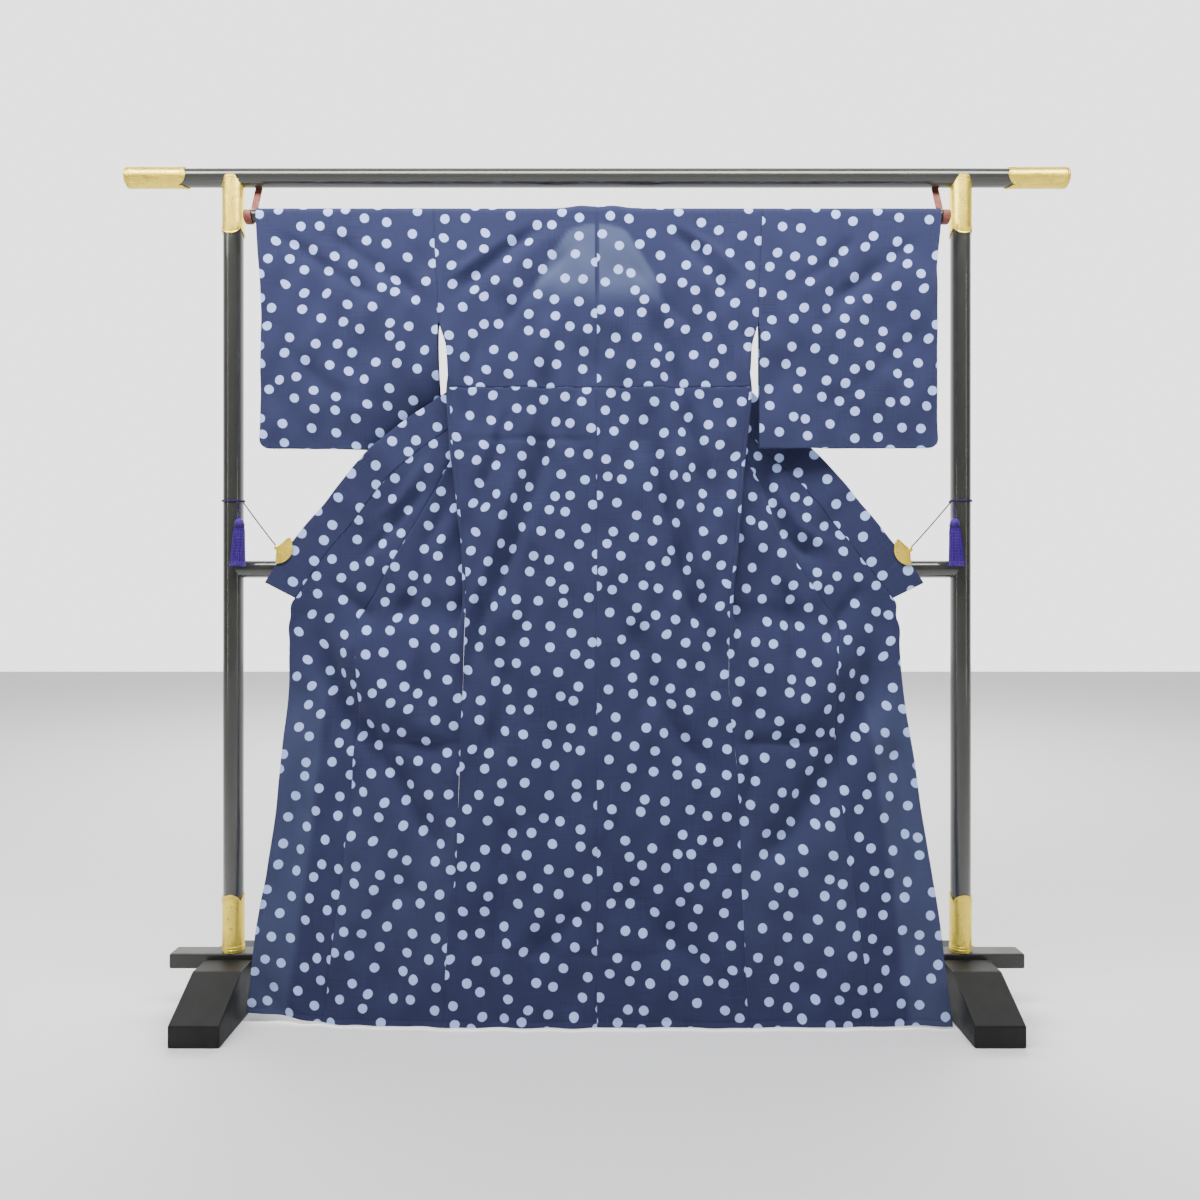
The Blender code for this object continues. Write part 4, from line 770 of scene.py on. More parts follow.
def make_nape():
    """Collar at the neck, folded over the rod under the back panel."""
    x = even_steps(-NAPE_HALF, NAPE_HALF, CELL, (0.001, 0.003))
    radius = ROD_R + GAP + COLLAR_WALL / 2 + 0.0002
    level = np.stack((x, np.full(x.shape, ROD_Y + radius), np.full(x.shape, ROD_Z)), axis=-1)
    low = [level - (0, 0, drop) for drop in np.linspace(0.004, ROD_Z - COLLAR_TOP_Z - 2 * GAP, 5)]
    points = np.array(over_rod(level, math.pi / 2, 0.0, nape_rise(x), radius) + [level] + low)
    u, v = cloth_lengths(points)
    return thicken(panel_object("collar_nape", "nape", points, u, v, -1), COLLAR_WALL * 0.94)


# ---------------------------------------------------------------- shader nodes
def feed(links, socket, value):
    """Joins another node's output to the socket, or sets the socket's own value."""
    if isinstance(value, bpy.types.NodeSocket):
        links.new(value, socket)
    else:
        socket.default_value = value


class Tree:
    """Short way to add nodes to a tree and to join their sockets."""

    def __init__(self, tree):
        self.tree = tree

    def add(self, kind, inputs=None, **settings):
        node = self.tree.nodes.new(kind)
        for key, value in settings.items():
            setattr(node, key, value)
        for key, value in (inputs or {}).items():
            feed(self.tree.links, node.inputs[key], value)
        return node

    def out(self, kind, inputs=None, **settings):
        return self.add(kind, inputs, **settings).outputs[0]

    def join(self, value, socket):
        self.tree.links.new(value, socket)

    def spots(self, vector, scale):
        return self.out("ShaderNodeTexVoronoi", {"Vector": vector, "Scale": scale})

    def math(self, operation, *values):
        return self.out("ShaderNodeMath", dict(enumerate(values)), operation=operation)

    def ramp(self, value, low, high, to_low=0.0, to_high=1.0):
        return self.out("ShaderNodeMapRange", {"Value": value, "From Min": low, "From Max": high,
                                               "To Min": to_low, "To Max": to_high},
                        interpolation_type="SMOOTHSTEP")

    def mix(self, factor, first, second):
        node = self.add("ShaderNodeMix", data_type="RGBA", blend_type="MIX")
        sockets = {s.identifier: s for s in (*node.inputs, *node.outputs)}
        for key, value in (("Factor_Float", factor), ("A_Color", first), ("B_Color", second)):
            feed(self.tree.links, sockets[key], value)
        return sockets["Result_Color"]

    def noise(self, vector, scale, detail=2.0, roughness=0.5):
        return self.out("ShaderNodeTexNoise", {"Vector": vector, "Scale": scale, "Detail": detail,
                                               "Roughness": roughness})

    def stretched(self, vector, scale):
        return self.out("ShaderNodeMapping", {"Vector": vector, "Scale": scale})


class Group(Tree):
    """Shader node group with a vector, named values to set and named values to read."""

    def __init__(self, name, sizes, results):
        super().__init__(bpy.data.node_groups.new(name, "ShaderNodeTree"))
        sockets = self.tree.interface
        sockets.new_socket("Vector", in_out="INPUT", socket_type="NodeSocketVector")
        for label, default in sizes.items():
            sockets.new_socket(label, in_out="INPUT", socket_type="NodeSocketFloat").default_value = default
        for label in results:
            sockets.new_socket(label, in_out="OUTPUT", socket_type="NodeSocketFloat")
        self.given = self.add("NodeGroupInput").outputs
        self.result = self.add("NodeGroupOutput").inputs

    def put(self, **values):
        for label, value in values.items():
            self.join(value, self.result[label])


class Finish(Tree):
    """Material of one shader, whose sockets are set by name with _ for each space."""

    def __init__(self, name, color, roughness, **values):
        self.material = bpy.data.materials.new(name)
        self.material.use_nodes = True
        self.material.diffuse_color = shade(color)
        super().__init__(self.material.node_tree)
        self.shader = self.tree.nodes["Principled BSDF"].inputs
        self.put(Base_Color=shade(color), Roughness=roughness, **values)

    def put(self, **values):
        for label, value in values.items():
            feed(self.tree.links, self.shader[label.replace("_", " ")], value)

    def bump(self, height, strength, distance):
        self.put(Normal=self.out("ShaderNodeBump", {"Height": height, "Strength": strength,
                                                    "Distance": distance}))

    def group(self, name, vector, **sizes):
        group = bpy.data.node_groups[name]
        return self.add("ShaderNodeGroup", {"Vector": vector, **sizes}, node_tree=group).outputs

    def object_place(self):
        return self.add("ShaderNodeTexCoord").outputs["Object"]

    def own_map(self):
        return self.out("ShaderNodeUVMap", uv_map="Cloth")


def shade(color, factor=1.0):
    return (*(c * factor for c in color[:3]), 1.0)


def weave_group():
    """Plain weave of one-ply threads, with slubs and a slow unevenness."""
    tree = Group("Plain Weave", {"Thread": 0.00055}, ("Height", "Slub", "Fade"))
    vector = tree.given["Vector"]
    turns = tree.math("DIVIDE", math.pi, tree.given["Thread"])
    parts = tree.add("ShaderNodeSeparateXYZ", {"Vector": vector}).outputs
    warp, weft = (tree.math("SINE", tree.math("MULTIPLY", parts[axis], turns)) for axis in "XY")
    rows = tree.noise(tree.stretched(vector, (18.0, 900.0, 1.0)), 1.0)
    columns = tree.noise(tree.stretched(vector, (900.0, 14.0, 1.0)), 1.0)
    slub = tree.math("ADD", tree.math("MULTIPLY", rows, 0.55), tree.math("MULTIPLY", columns, 0.45))
    crossing = tree.math("MULTIPLY", tree.math("MULTIPLY", warp, weft), 0.5)
    tree.put(Height=tree.math("ADD", crossing, slub), Slub=slub, Fade=tree.noise(vector, 7.0, 3.0))


def dots_group():
    """Printed round dots on a loose lattice, a little uneven in shape, with soft inked edges."""
    tree = Group("Scattered Dots", {"Spacing": 0.0432, "Radius": 0.0090, "Softness": 0.0007}, ("Mask",))
    vector, spacing = tree.given["Vector"], tree.given["Spacing"]
    radius, softness = tree.given["Radius"], tree.given["Softness"]
    turned = tree.out("ShaderNodeMapping", {"Vector": vector, "Rotation": (0, 0, 0.31)})
    wobble = tree.add("ShaderNodeTexNoise", {"Vector": turned, "Scale": 90.0, "Detail": 1.0}).outputs["Color"]
    shift = tree.out("ShaderNodeVectorMath", {0: wobble, 1: (0.5, 0.5, 0.5)}, operation="SUBTRACT")
    moved = tree.out("ShaderNodeVectorMath", {0: shift, "Scale": 0.0016}, operation="SCALE")
    where = tree.out("ShaderNodeVectorMath", {0: turned, 1: moved}, operation="ADD")
    cells = tree.out("ShaderNodeTexVoronoi", {"Vector": where, "Scale": tree.math("DIVIDE", 1.0, spacing),
                                              "Randomness": 0.50}, voronoi_dimensions="2D", feature="F1")
    distance = tree.math("MULTIPLY", cells, spacing)
    inner, outer = (tree.math(way, radius, softness) for way in ("SUBTRACT", "ADD"))
    tree.put(Mask=tree.ramp(distance, inner, outer, 1.0, 0.0))


def wear_group():
    """Fine dust and rubbed places of a smooth hard surface."""
    tree = Group("Dust and Rub", {"Scale": 30.0}, ("Dust", "Rub", "Height"))
    vector, scale = tree.given["Vector"], tree.given["Scale"]
    patches = tree.ramp(tree.noise(vector, scale, 3.0), 0.45, 0.7)
    tree.put(Dust=tree.math("MULTIPLY", tree.ramp(tree.spots(vector, 420.0), 0.16, 0.04), patches),
             Rub=tree.ramp(tree.noise(vector, scale, 4.0, 0.6), 0.35, 0.75),
             Height=tree.noise(vector, 160.0))


def twist_group():
    """Two-ply twist along a cord, or fine strands along a tassel, from the piece's own map."""
    tree = Group("Silk Twist", {"Pitch": 0.004, "Slant": 1.0}, ("Height", "Shade"))
    vector = tree.given["Vector"]
    parts = tree.add("ShaderNodeSeparateXYZ", {"Vector": vector}).outputs
    along = tree.math("MULTIPLY", tree.math("DIVIDE", parts["Y"], tree.given["Pitch"]), 2 * math.pi)
    around = tree.math("MULTIPLY", tree.math("MULTIPLY", parts["X"], 4 * math.pi), tree.given["Slant"])
    tree.put(Height=tree.math("ABSOLUTE", tree.math("SINE", tree.math("ADD", along, around))),
             Shade=tree.noise(tree.stretched(vector, (30.0, 400.0, 1.0)), 1.0, 3.0))


def cotton_material(cloth):
    tree = Finish("Navy dotted cotton", cloth.navy, 0.92, Sheen_Weight=0.06, Sheen_Roughness=0.5,
                  Specular_IOR_Level=0.12)
    weave = tree.group("Plain Weave", tree.own_map())
    dots = tree.group("Scattered Dots", tree.own_map(), Spacing=cloth.dot_spacing, Radius=cloth.dot_size / 2)
    single = tree.add("ShaderNodeAttribute", attribute_name="single").outputs["Fac"]
    slub = tree.ramp(weave["Slub"], 0.36, 0.64)
    ground = tree.mix(slub, shade(cloth.navy, 0.86), shade(cloth.navy, 1.14))
    ground = tree.mix(tree.ramp(weave["Fade"], 0.35, 0.65), ground, shade(cloth.navy, 1.04))
    # Painted light: the ground turns paler where one layer of cloth shows light behind it.
    painted_lit_ground = tree.mix(single, ground, shade(cloth.painted_see_through))
    ink = tree.mix(slub, shade(cloth.dots, 0.93), shade(cloth.dots, 1.05))
    tree.put(Base_Color=tree.mix(dots["Mask"], painted_lit_ground, ink))
    tree.bump(weave["Height"], 0.35, 0.0002)
    return tree.material


DUST = (0.15, 0.15, 0.146, 1.0)


def lacquer_material(name, color, roughness, gloss, scale, shine=0.5):
    """Lacquer with fine dust; gloss is its clear coat, and scale the size of its worn places."""
    tree = Finish(name, color, roughness, Coat_Weight=gloss, Coat_Roughness=0.06, Specular_IOR_Level=shine)
    wear = tree.group("Dust and Rub", tree.object_place(), Scale=scale)
    tree.put(Base_Color=tree.mix(tree.math("MULTIPLY", wear["Dust"], 0.15), shade(color), DUST),
             Roughness=tree.math("ADD", tree.math("MULTIPLY", wear["Rub"], 0.10), roughness))
    tree.bump(wear["Height"], 0.12, 0.0002)
    return tree.material


def gilt_material(color):
    """Gilded brass: punched ground, engraved scrolls, and a browner tone in what is cut."""
    tree = Finish("Gilt fittings", color, 0.30, Metallic=1.0)
    place_at = tree.object_place()
    wear = tree.group("Dust and Rub", place_at, Scale=60.0)
    swirl = tree.out("ShaderNodeTexNoise",
                     {"Vector": place_at, "Scale": 45.0, "Detail": 0.0, "Distortion": 1.6})
    line = tree.math("ABSOLUTE", tree.math("SINE", tree.math("MULTIPLY", swirl, 34.0)))
    holes = tree.ramp(tree.spots(place_at, 620.0), 0.40, 0.15)
    punched = tree.math("MULTIPLY", holes, tree.ramp(line, 0.55, 0.8))
    carved = tree.math("MAXIMUM", tree.ramp(line, 0.30, 0.10), tree.math("MULTIPLY", punched, 0.6))
    tone = tree.mix(carved, shade(color), shade(color, 0.52))
    rubbed = tree.math("MULTIPLY_ADD", wear["Rub"], 0.10, 0.34)
    tree.put(Base_Color=tree.mix(tree.math("MULTIPLY", wear["Rub"], 0.25), tone, shade(color, 1.12)),
             Roughness=tree.math("ADD", tree.math("MULTIPLY", carved, 0.12), rubbed))
    tree.bump(tree.math("SUBTRACT", 1.0, carved), 0.60, 0.0006)
    return tree.material


def strap_material(color):
    tree = Finish("Red-brown leather strap", color, 0.55, Specular_IOR_Level=0.4)
    place_at = tree.object_place()
    worn = tree.ramp(tree.noise(place_at, 120.0, 4.0), 0.40, 0.70)
    tree.put(Base_Color=tree.mix(worn, shade(color, 0.78), shade(color, 1.25)))
    tree.bump(tree.spots(place_at, 900.0), 0.4, 0.0003)
    return tree.material


def silk_material(name, color, pitch, slant):
    tree = Finish(name, color, 0.55, Sheen_Weight=0.15, Sheen_Roughness=0.35, Specular_IOR_Level=0.25)
    twist = tree.group("Silk Twist", tree.own_map(), Pitch=pitch, Slant=slant)
    # Painted shade: darker in the grooves of the twist and between the strands, paler on their crests.
    tone = tree.mix(tree.ramp(twist["Height"], 0.1, 0.9), shade(color, 0.60), shade(color, 1.15))
    tree.put(Base_Color=tree.mix(tree.ramp(twist["Shade"], 0.3, 0.7), tone, shade(color, 1.05)))
    tree.bump(twist["Height"], 0.6, 0.0003)
    return tree.material


def floor_material():
    tree = Finish("Plain pale floor", (0.86,) * 3, 0.75)
    uneven = tree.noise(tree.object_place(), 1.5)
    tree.put(Base_Color=tree.mix(uneven, shade((0.85,) * 3), shade((0.87,) * 3)))
    return tree.material


# ---------------------------------------------------------------- geometry nodes
class Repeat(Tree):
    """Geometry Nodes tree that ends in plain mesh with its material."""

    def __init__(self, name, sizes):
        super().__init__(bpy.data.node_groups.new(name, "GeometryNodeTree"))
        sockets = self.tree.interface
        sockets.new_socket("Geometry", in_out="INPUT", socket_type="NodeSocketGeometry")
        for label, default in sizes.items():
            sockets.new_socket(label, in_out="INPUT", socket_type="NodeSocketFloat").default_value = default
        sockets.new_socket("Material", in_out="INPUT", socket_type="NodeSocketMaterial")
        sockets.new_socket("Geometry", in_out="OUTPUT", socket_type="NodeSocketGeometry")
        self.given = self.add("NodeGroupInput").outputs
        self.result = self.add("NodeGroupOutput").inputs

    def end(self, geometry):
        real = self.out("GeometryNodeRealizeInstances", {"Geometry": geometry})
        smooth = self.out("GeometryNodeSetShadeSmooth", {"Geometry": real})
        done = self.out("GeometryNodeSetMaterial",
                        {"Geometry": smooth, "Material": self.given["Material"]})
        self.join(done, self.result[0])
        return self

    def socket(self, label):
        return next(s.identifier for s in self.tree.interface.items_tree
                    if s.name == label and s.in_out == "INPUT")

    def ring(self, sides, radius):
        return self.out("GeometryNodeCurvePrimitiveCircle",
                        {"Resolution": sides, "Radius": self.given[radius]})


def run_tree(repeat, obj, material, **sizes):
    """Plain mesh from the tree on this object, which is then gone."""
    modifier = obj.modifiers.new("Repeat", "NODES")
    modifier.node_group = repeat.tree
    modifier[repeat.socket("Material")] = material
    for label, value in sizes.items():
        modifier[repeat.socket(label)] = value
    name, mesh = obj.name, evaluated_mesh(obj)
    bpy.data.objects.remove(obj, do_unlink=True)
    return linked(name, mesh)


def path_object(name, routes):
    """Edges along routes of points."""
    verts, edges = [], []
    for route in routes:
        edges += [(len(verts) + i, len(verts) + i + 1) for i in range(len(route) - 1)]
        verts += [tuple(p) for p in route]
    mesh = bpy.data.meshes.new(name)
    mesh.from_pydata(verts, edges, [])
    return linked(name, mesh)


def stitches_tree():
    """Short threads laid end to end along each edge path."""
    tree = Repeat("Running Stitches", {"Spacing": 0.009, "Length": 0.0028, "Thickness": 0.00045})
    path = tree.out("GeometryNodeMeshToCurve", {"Mesh": tree.given["Geometry"]})
    spots = tree.add("GeometryNodeCurveToPoints", {"Curve": path, "Length": tree.given["Spacing"]},
                     mode="LENGTH")
    half = tree.math("MULTIPLY", tree.given["Length"], 0.5)
    start = tree.out("ShaderNodeCombineXYZ", {"Z": tree.math("MULTIPLY", half, -1.0)})
    end = tree.out("ShaderNodeCombineXYZ", {"Z": half})
    line = tree.out("GeometryNodeCurvePrimitiveLine", {"Start": start, "End": end})
    thread = tree.out("GeometryNodeCurveToMesh", {"Curve": line, "Profile Curve": tree.ring(5, "Thickness"),
                                                  "Fill Caps": True})
    return tree.end(tree.out("GeometryNodeInstanceOnPoints",
                             {"Points": spots.outputs["Points"], "Instance": thread,
                              "Rotation": spots.outputs["Rotation"]}))


def studs_tree():
    """Low domes at each vertex."""
    tree = Repeat("Studs", {"Radius": 0.0016})
    dome = tree.out("GeometryNodeMeshUVSphere", {"Segments": 10, "Rings": 6, "Radius": tree.given["Radius"]})
    return tree.end(tree.out("GeometryNodeInstanceOnPoints",
                             {"Points": tree.given["Geometry"], "Instance": dome}))


def ribs_tree():
    """Tapered ribs laid along each edge, from its first point to its last."""
    tree = Repeat("Fan Ribs", {"Radius": 0.0009})
    path = tree.out("GeometryNodeMeshToCurve", {"Mesh": tree.given["Geometry"]})
    smooth = tree.out("GeometryNodeResampleCurve", {"Curve": path, "Count": 6})
    along = tree.out("GeometryNodeSplineParameter")
    width = tree.out("ShaderNodeMapRange", {"Value": along, "To Min": 0.45, "To Max": 1.0})
    return tree.end(tree.out("GeometryNodeCurveToMesh",
                             {"Curve": smooth, "Profile Curve": tree.ring(8, "Radius"), "Scale": width,
                              "Fill Caps": True}))


# ---------------------------------------------------------------- the stand
def lathe(name, profile, axis_place, axis="Z", sides=64, wave=None, closed=False, crease=35):
    """Shape of revolution from (radius, height) pairs, about Z or X; wave shifts the heights of the
    entries marked True round the axis, and closed joins the last ring to the first."""
    angles = np.arange(sides) * 2 * math.pi / sides
    rings = []
    for radius, height, waved in [(*p, False)[:3] for p in profile]:
        heights = height + (wave(angles) if waved else 0.0) * np.ones(sides)
        rings.append(np.stack((radius * np.cos(angles), radius * np.sin(angles), heights), axis=-1))
    points = np.array(rings)
    if axis == "X":
        points = points[..., (2, 1, 0)] * (1, 1, -1)
    count = len(profile)
    faces = grid_faces(count, sides, wrap=True)
    if closed:
        last = (count - 1) * sides
        faces += [(last + c, c, (c + 1) % sides, last + (c + 1) % sides) for c in range(sides)]
    elif profile[0][0] > 1e-4:
        faces += ring_ends(count, sides)
    obj = turn_outwards(mesh_object(name, points + np.array(axis_place), faces))
    obj.data.set_sharp_from_angle(angle=math.radians(crease))
    return obj


def pole(name, radius, start, end, place_at, axis):
    """Round pole with softened ends."""
    soft = 0.0015
    profile = [(0.0, start), (radius - soft, start), (radius - soft * 0.3, start + soft * 0.3),
               (radius, start + soft)]
    profile += [(radius, z) for z in np.linspace(start, end, 9)[1:-1]]
    profile += [(radius, end - soft), (radius - soft * 0.3, end - soft * 0.3)]
    profile += [(radius - soft, end), (0.0, end)]
    return lathe(name, profile, place_at, axis, sides=72, crease=60)


def cut_away(obj, cutter):
    boolean = obj.modifiers.new("Cut", "BOOLEAN")
    boolean.operation, boolean.object, boolean.solver = "DIFFERENCE", cutter, "EXACT"
    mesh = evaluated_mesh(obj)
    obj.modifiers.clear()
    obj.data = mesh
    mesh.shade_smooth()
    mesh.set_sharp_from_angle(angle=math.radians(40))
    bpy.data.objects.remove(cutter, do_unlink=True)
    return obj


def scalloped(angles):
    return (1 - np.abs(np.sin((angles + SCALLOP_TURN) * SCALLOPS / 2)) ** 0.7) * SCALLOP


def fitting(name, inner, outer, plain, edge, place_at, axis, capped):
    """Gilt sleeve with a lobed edge, a rolled rim along it and two turned lines at its plain end."""
    way = math.copysign(1.0, plain - edge)
    skin = outer - inner
    profile = [(inner, edge, True), (outer - skin * 0.3, edge - way * 0.0002, True),
               (outer + 0.0002, edge + way * 0.0006, True), (outer + 0.0002, edge + way * 0.0016, True),
               (outer - 0.0002, edge + way * 0.0022, True), (outer - 0.0002, edge + way * 0.0034, True)]
    length = abs(plain - edge)
    lines = ((0.30, 0.0), (0.90, 0.0), (0.905, 0.0005), (0.93, 0.0005), (0.935, -0.0001), (0.945, -0.0001),
             (0.95, 0.0005), (0.975, 0.0005), (0.98, 0.0))
    for share, lift in lines:
        profile.append((outer - 0.0002 + lift, edge + way * length * share, False))
    if capped:
        dome = ((1.0, 0.0), (0.985, 0.0016), (0.90, 0.0034), (0.60, 0.0044), (0.25, 0.0048), (0.0, 0.0049))
        profile += [(outer * share, plain + way * (rise - 0.0012), False) for share, rise in dome]
        profile += [(0.0, plain - way * 0.002, False), (inner, plain - way * 0.002, False)]
    else:
        profile += [(outer, plain, False), (inner, plain, False)]
    return lathe(name, profile, place_at, axis, 96, lambda angles: way * scalloped(angles), True, 40)


def cusp_points(outer, edge, way, place_at, axis, setback=0.0065, dots=6):
    """Places of the studs that follow a fitting's lobed edge."""
    points = []
    for cusp in range(SCALLOPS):
        for i in range(dots):
            angle = (cusp + (i + 0.5) / dots) * 2 * math.pi / SCALLOPS - SCALLOP_TURN
            height = edge + way * (scalloped(np.array([angle]))[0] + setback)
            p = (outer * math.cos(angle), outer * math.sin(angle), height)
            p = (p[2], p[1], -p[0]) if axis == "X" else p
            points.append(tuple(np.add(p, place_at)))
    return points


def beam(name, outline, left, right):
    """Beam of this (y, z) outline, with sharp arrises."""
    count = len(outline)
    verts = [(x, y, z) for x in (left, right) for y, z in outline]
    faces = [tuple(range(count)), tuple(range(2 * count - 1, count - 1, -1))]
    faces += [(i, i + count, (i + 1) % count + count, (i + 1) % count) for i in range(count)]
    return turn_outwards(mesh_object(name, verts, faces, smooth=False))


def soften(obj, width, segments=3):
    bevel = obj.modifiers.new("Arrises", "BEVEL")
    bevel.width, bevel.segments, bevel.limit_method = width, segments, "ANGLE"
    bevel.angle_limit = math.radians(15)
    bevel.harden_normals = True
    obj.data.shade_smooth()
    return obj


def block(name, low, high):
    (x0, y0, z0), (x1, y1, z1) = low, high
    return beam(name, ((y0, z0), (y1, z0), (y1, z1), (y0, z1)), x0, x1)


def make_poles(lacquer, dark):
    low = PLATE_TOP + GAP
    rail = pole("stand_rail", RAIL_R, -RAIL_HALF + GAP, RAIL_HALF - GAP, (0, 0, RAIL_Z), "X")
    finish_piece(rail, lacquer, ["rail"])
    rod = pole("stand_rod", ROD_R, -ROD_HALF, ROD_HALF, (0, ROD_Y, ROD_Z), "X")
    finish_piece(rod, dark, ["rod"])
    bar = pole("stand_crossbar", CROSSBAR_R, -POST_X, POST_X, (0, 0, CROSSBAR_Z), "X")
    for side, word in SIDES:
        post = pole("stand_post_" + word, POST_R, low, RAIL_Z, (side * POST_X, 0, 0), "Z")
        cut_away(post, pole("rail_space", RAIL_R + GAP, -1.0, 1.0, (0, 0, RAIL_Z), "X"))
        finish_piece(post, lacquer, ["post_" + word])
        cut_away(bar, pole("post_space", POST_R + GAP, 0.7, 1.0, (side * POST_X, 0, 0), "Z"))
    finish_piece(bar, lacquer, ["crossbar"])


def make_fittings(gilt):
    low = PLATE_TOP + GAP
    studs = studs_tree()
    for side, word in SIDES:
        base = (side * POST_X, 0, 0)
        top = fitting("stand_ferrule_top_" + word, POST_R + GAP, FERRULE_R, RAIL_Z, FERRULE_TOP_BOTTOM,
                      base, "Z", False)
        cut_away(top, pole("rail_space", RAIL_R + GAP, -1.0, 1.0, (0, 0, RAIL_Z), "X"))
        bottom = fitting("stand_ferrule_bottom_" + word, POST_R + GAP, FERRULE_R, low, FERRULE_LOW_TOP,
                         base, "Z", False)
        cap = fitting("stand_rail_cap_" + word, RAIL_R + GAP, CAP_R, side * RAIL_HALF,
                      side * (RAIL_HALF - CAP_LENGTH), (0, 0, RAIL_Z), "X", True)
        for piece, node in ((top, "ferrule_top_"), (bottom, "ferrule_bottom_"), (cap, "rail_cap_")):
            finish_piece(piece, gilt, [node + word])
        places = cusp_points(FERRULE_R, FERRULE_TOP_BOTTOM, 1, base, "Z")
        places += cusp_points(FERRULE_R, FERRULE_LOW_TOP, -1, base, "Z")
        places += cusp_points(CAP_R, side * (RAIL_HALF - CAP_LENGTH), side, (0, 0, RAIL_Z), "X")
        tacks = path_object("stand_tacks_" + word, [[p] for p in places])
        tacks = run_tree(studs, tacks, gilt, Radius=TACK_R)
        finish_piece(tacks, gilt, [])


def make_feet(lacquer, plate_lacquer):
    outline = ((-FOOT_HALF, 0.0), (FOOT_HALF, 0.0), (FOOT_HALF, FOOT_TOE), (FOOT_FLAT_HALF, FOOT_TOP),
               (-FOOT_FLAT_HALF, FOOT_TOP), (-FOOT_HALF, FOOT_TOE))
    half = PLATE_DEPTH / 2
    for side, word in SIDES:
        left, right = side * POST_X - FOOT_WIDTH / 2, side * POST_X + FOOT_WIDTH / 2
        foot = beam("stand_foot_" + word, outline, left, right)
        cut_away(foot, block("plate_space", (left - 0.01, -half - GAP, PLATE_LOW - GAP),
                             (right + 0.01, half + GAP, FOOT_TOP + 0.01)))
        finish_piece(soften(foot, 0.003), lacquer, ["foot_" + word])
        plate = block("stand_cross_plate_" + word, (side * POST_X - PLATE_HALF, -half, PLATE_LOW),
                      (side * POST_X + PLATE_HALF, half, PLATE_TOP))
        finish_piece(soften(plate, 0.004), plate_lacquer, ["cross_plate_" + word])


def make_hooks(leather):
    """Strap from the rail down round the rod's end, with rounded edges."""
    rail_r, rod_r = RAIL_R + GAP + HOOK_THICK / 2, ROD_R + GAP + HOOK_THICK / 2
    # columns: centre's y and z, radius, first and last angle in degrees, points
    arcs = ((0.0, RAIL_Z, rail_r, 75, -22, 20), (ROD_Y, ROD_Z, rod_r, -26, -200, 34))
    path = np.array([(y + radius * math.cos(a), z + radius * math.sin(a))
                     for y, z, radius, first, last, count in arcs
                     for a in np.radians(np.linspace(first, last, count))])
    tangent = unit(np.gradient(path, axis=0))
    normal = np.stack((-tangent[:, 1], tangent[:, 0]), axis=-1)
    across, thick = rounded_section(16, 0.45)
    for side, word in SIDES:
        spread = path[:, None] + normal[:, None] * (thick * HOOK_THICK / 2)[None, :, None]
        x = np.broadcast_to(side * HOOK_X + across * HOOK_WIDTH / 2, spread.shape[:2])
        points = np.concatenate((x[..., None], spread), axis=-1)
        finish_piece(closed_band("stand_hook_" + word, points), leather, ["hook_" + word])


# ---------------------------------------------------------------- clips, cords and tassels
CLIP_R, CLIP_LEAF, CLIP_CLEAR, CLIP_SWEEP = 0.033, 0.0016, 0.0005, math.radians(137)
TIE_SAG = 0.0012                 # of the cord between a post and its clip
CLIP_OFFSET, CLIP_KNOB_R, CLIP_ALONG = 0.0146, 0.0055, 0.072
CLIP_RIBS = 11
CORD_R, WRAP_Z, WRAP_TURNS = 0.00125, 1.0055, 2
TASSEL_HEAD_TOP, TASSEL_HEAD, TASSEL_BOTTOM = 0.968, 0.017, 0.874
TASSEL_TOP_R, TASSEL_BOTTOM_R = 0.0104, 0.0150
TASSEL_OUT, TASSEL_TOP_Y, TASSEL_BOTTOM_Y = 0.0215, -0.0265, -0.0375    # from the post's axis
LOOP_OUT, LOOP_Y, LOOP_RISE = 0.0184, -0.0152, 0.0355
STRAND_R, STRAND_ROOT_R, STRAND_UNEVEN, STRAND_SWAY = 0.00062, 0.0088, 0.0009, 0.0005
BINDING_R, BINDING_DROP, BINDING_PITCH, BINDING_TURNS = 0.0097, 0.0105, 0.0011, 4
LOOP_SPLIT, CLIP_RIB_R = 0.0013, 0.00055


def clip_pivot(side):
    """Pivot just off the collar's free edge, and the direction from it into the cloth."""
    base, across = collar_frame(side, COLLAR_END_Z, fine=False)
    corner = base + across * COLLAR_WIDTH_END
    up_base, up_across = collar_frame(side, COLLAR_END_Z + 0.040, fine=False)
    along = unit(up_base + up_across * COLLAR_WIDTH_END - corner)
    return corner + along * CLIP_ALONG + across * CLIP_OFFSET, -across


def fan_leaf(word, which, pivot, middle):
    """One pleated leaf of the fan, on the near (-1) or the far (1) side of the cloth."""
    depth = COLLAR_WALL / 2 + CLIP_CLEAR + CLIP_LEAF / 2
    spread = np.linspace(-CLIP_SWEEP / 2, CLIP_SWEEP / 2, CLIP_RIBS * 6 + 1)
    pleat = np.abs(np.sin((spread / CLIP_SWEEP + 0.5) * math.pi * CLIP_RIBS))
    radii = np.array((0.0030, 0.0055, 0.0085, 0.0120, 0.0170, 0.0220, 0.0270, 0.0292, 0.0300, 0.0306))
    rows = []
    for radius in radii:
        rim = smoothstep((radius - 0.027) / 0.003)
        reach = radius * (1 + 0.018 * (pleat - 0.6) * rim)
        lift = 0.0007 * pleat * smoothstep((radius - 0.006) / 0.012) + 0.0003 * (abs(radius - 0.0292) < 1e-5)
        rows.append(np.stack((pivot[0] + reach * np.cos(middle + spread),
                              np.full(spread.shape, pivot[1]) + which * (depth + lift),
                              pivot[2] + reach * np.sin(middle + spread)), axis=-1))
    points = np.array(rows)
    leaf = mesh_object(f"clip_{word}_leaf_{'near' if which < 0 else 'far'}", points,
                       grid_faces(len(radii), len(spread), flip=which > 0))
    leaf.data.set_sharp_from_angle(angle=math.radians(50))
    return thicken(leaf, CLIP_LEAF * 0.85)


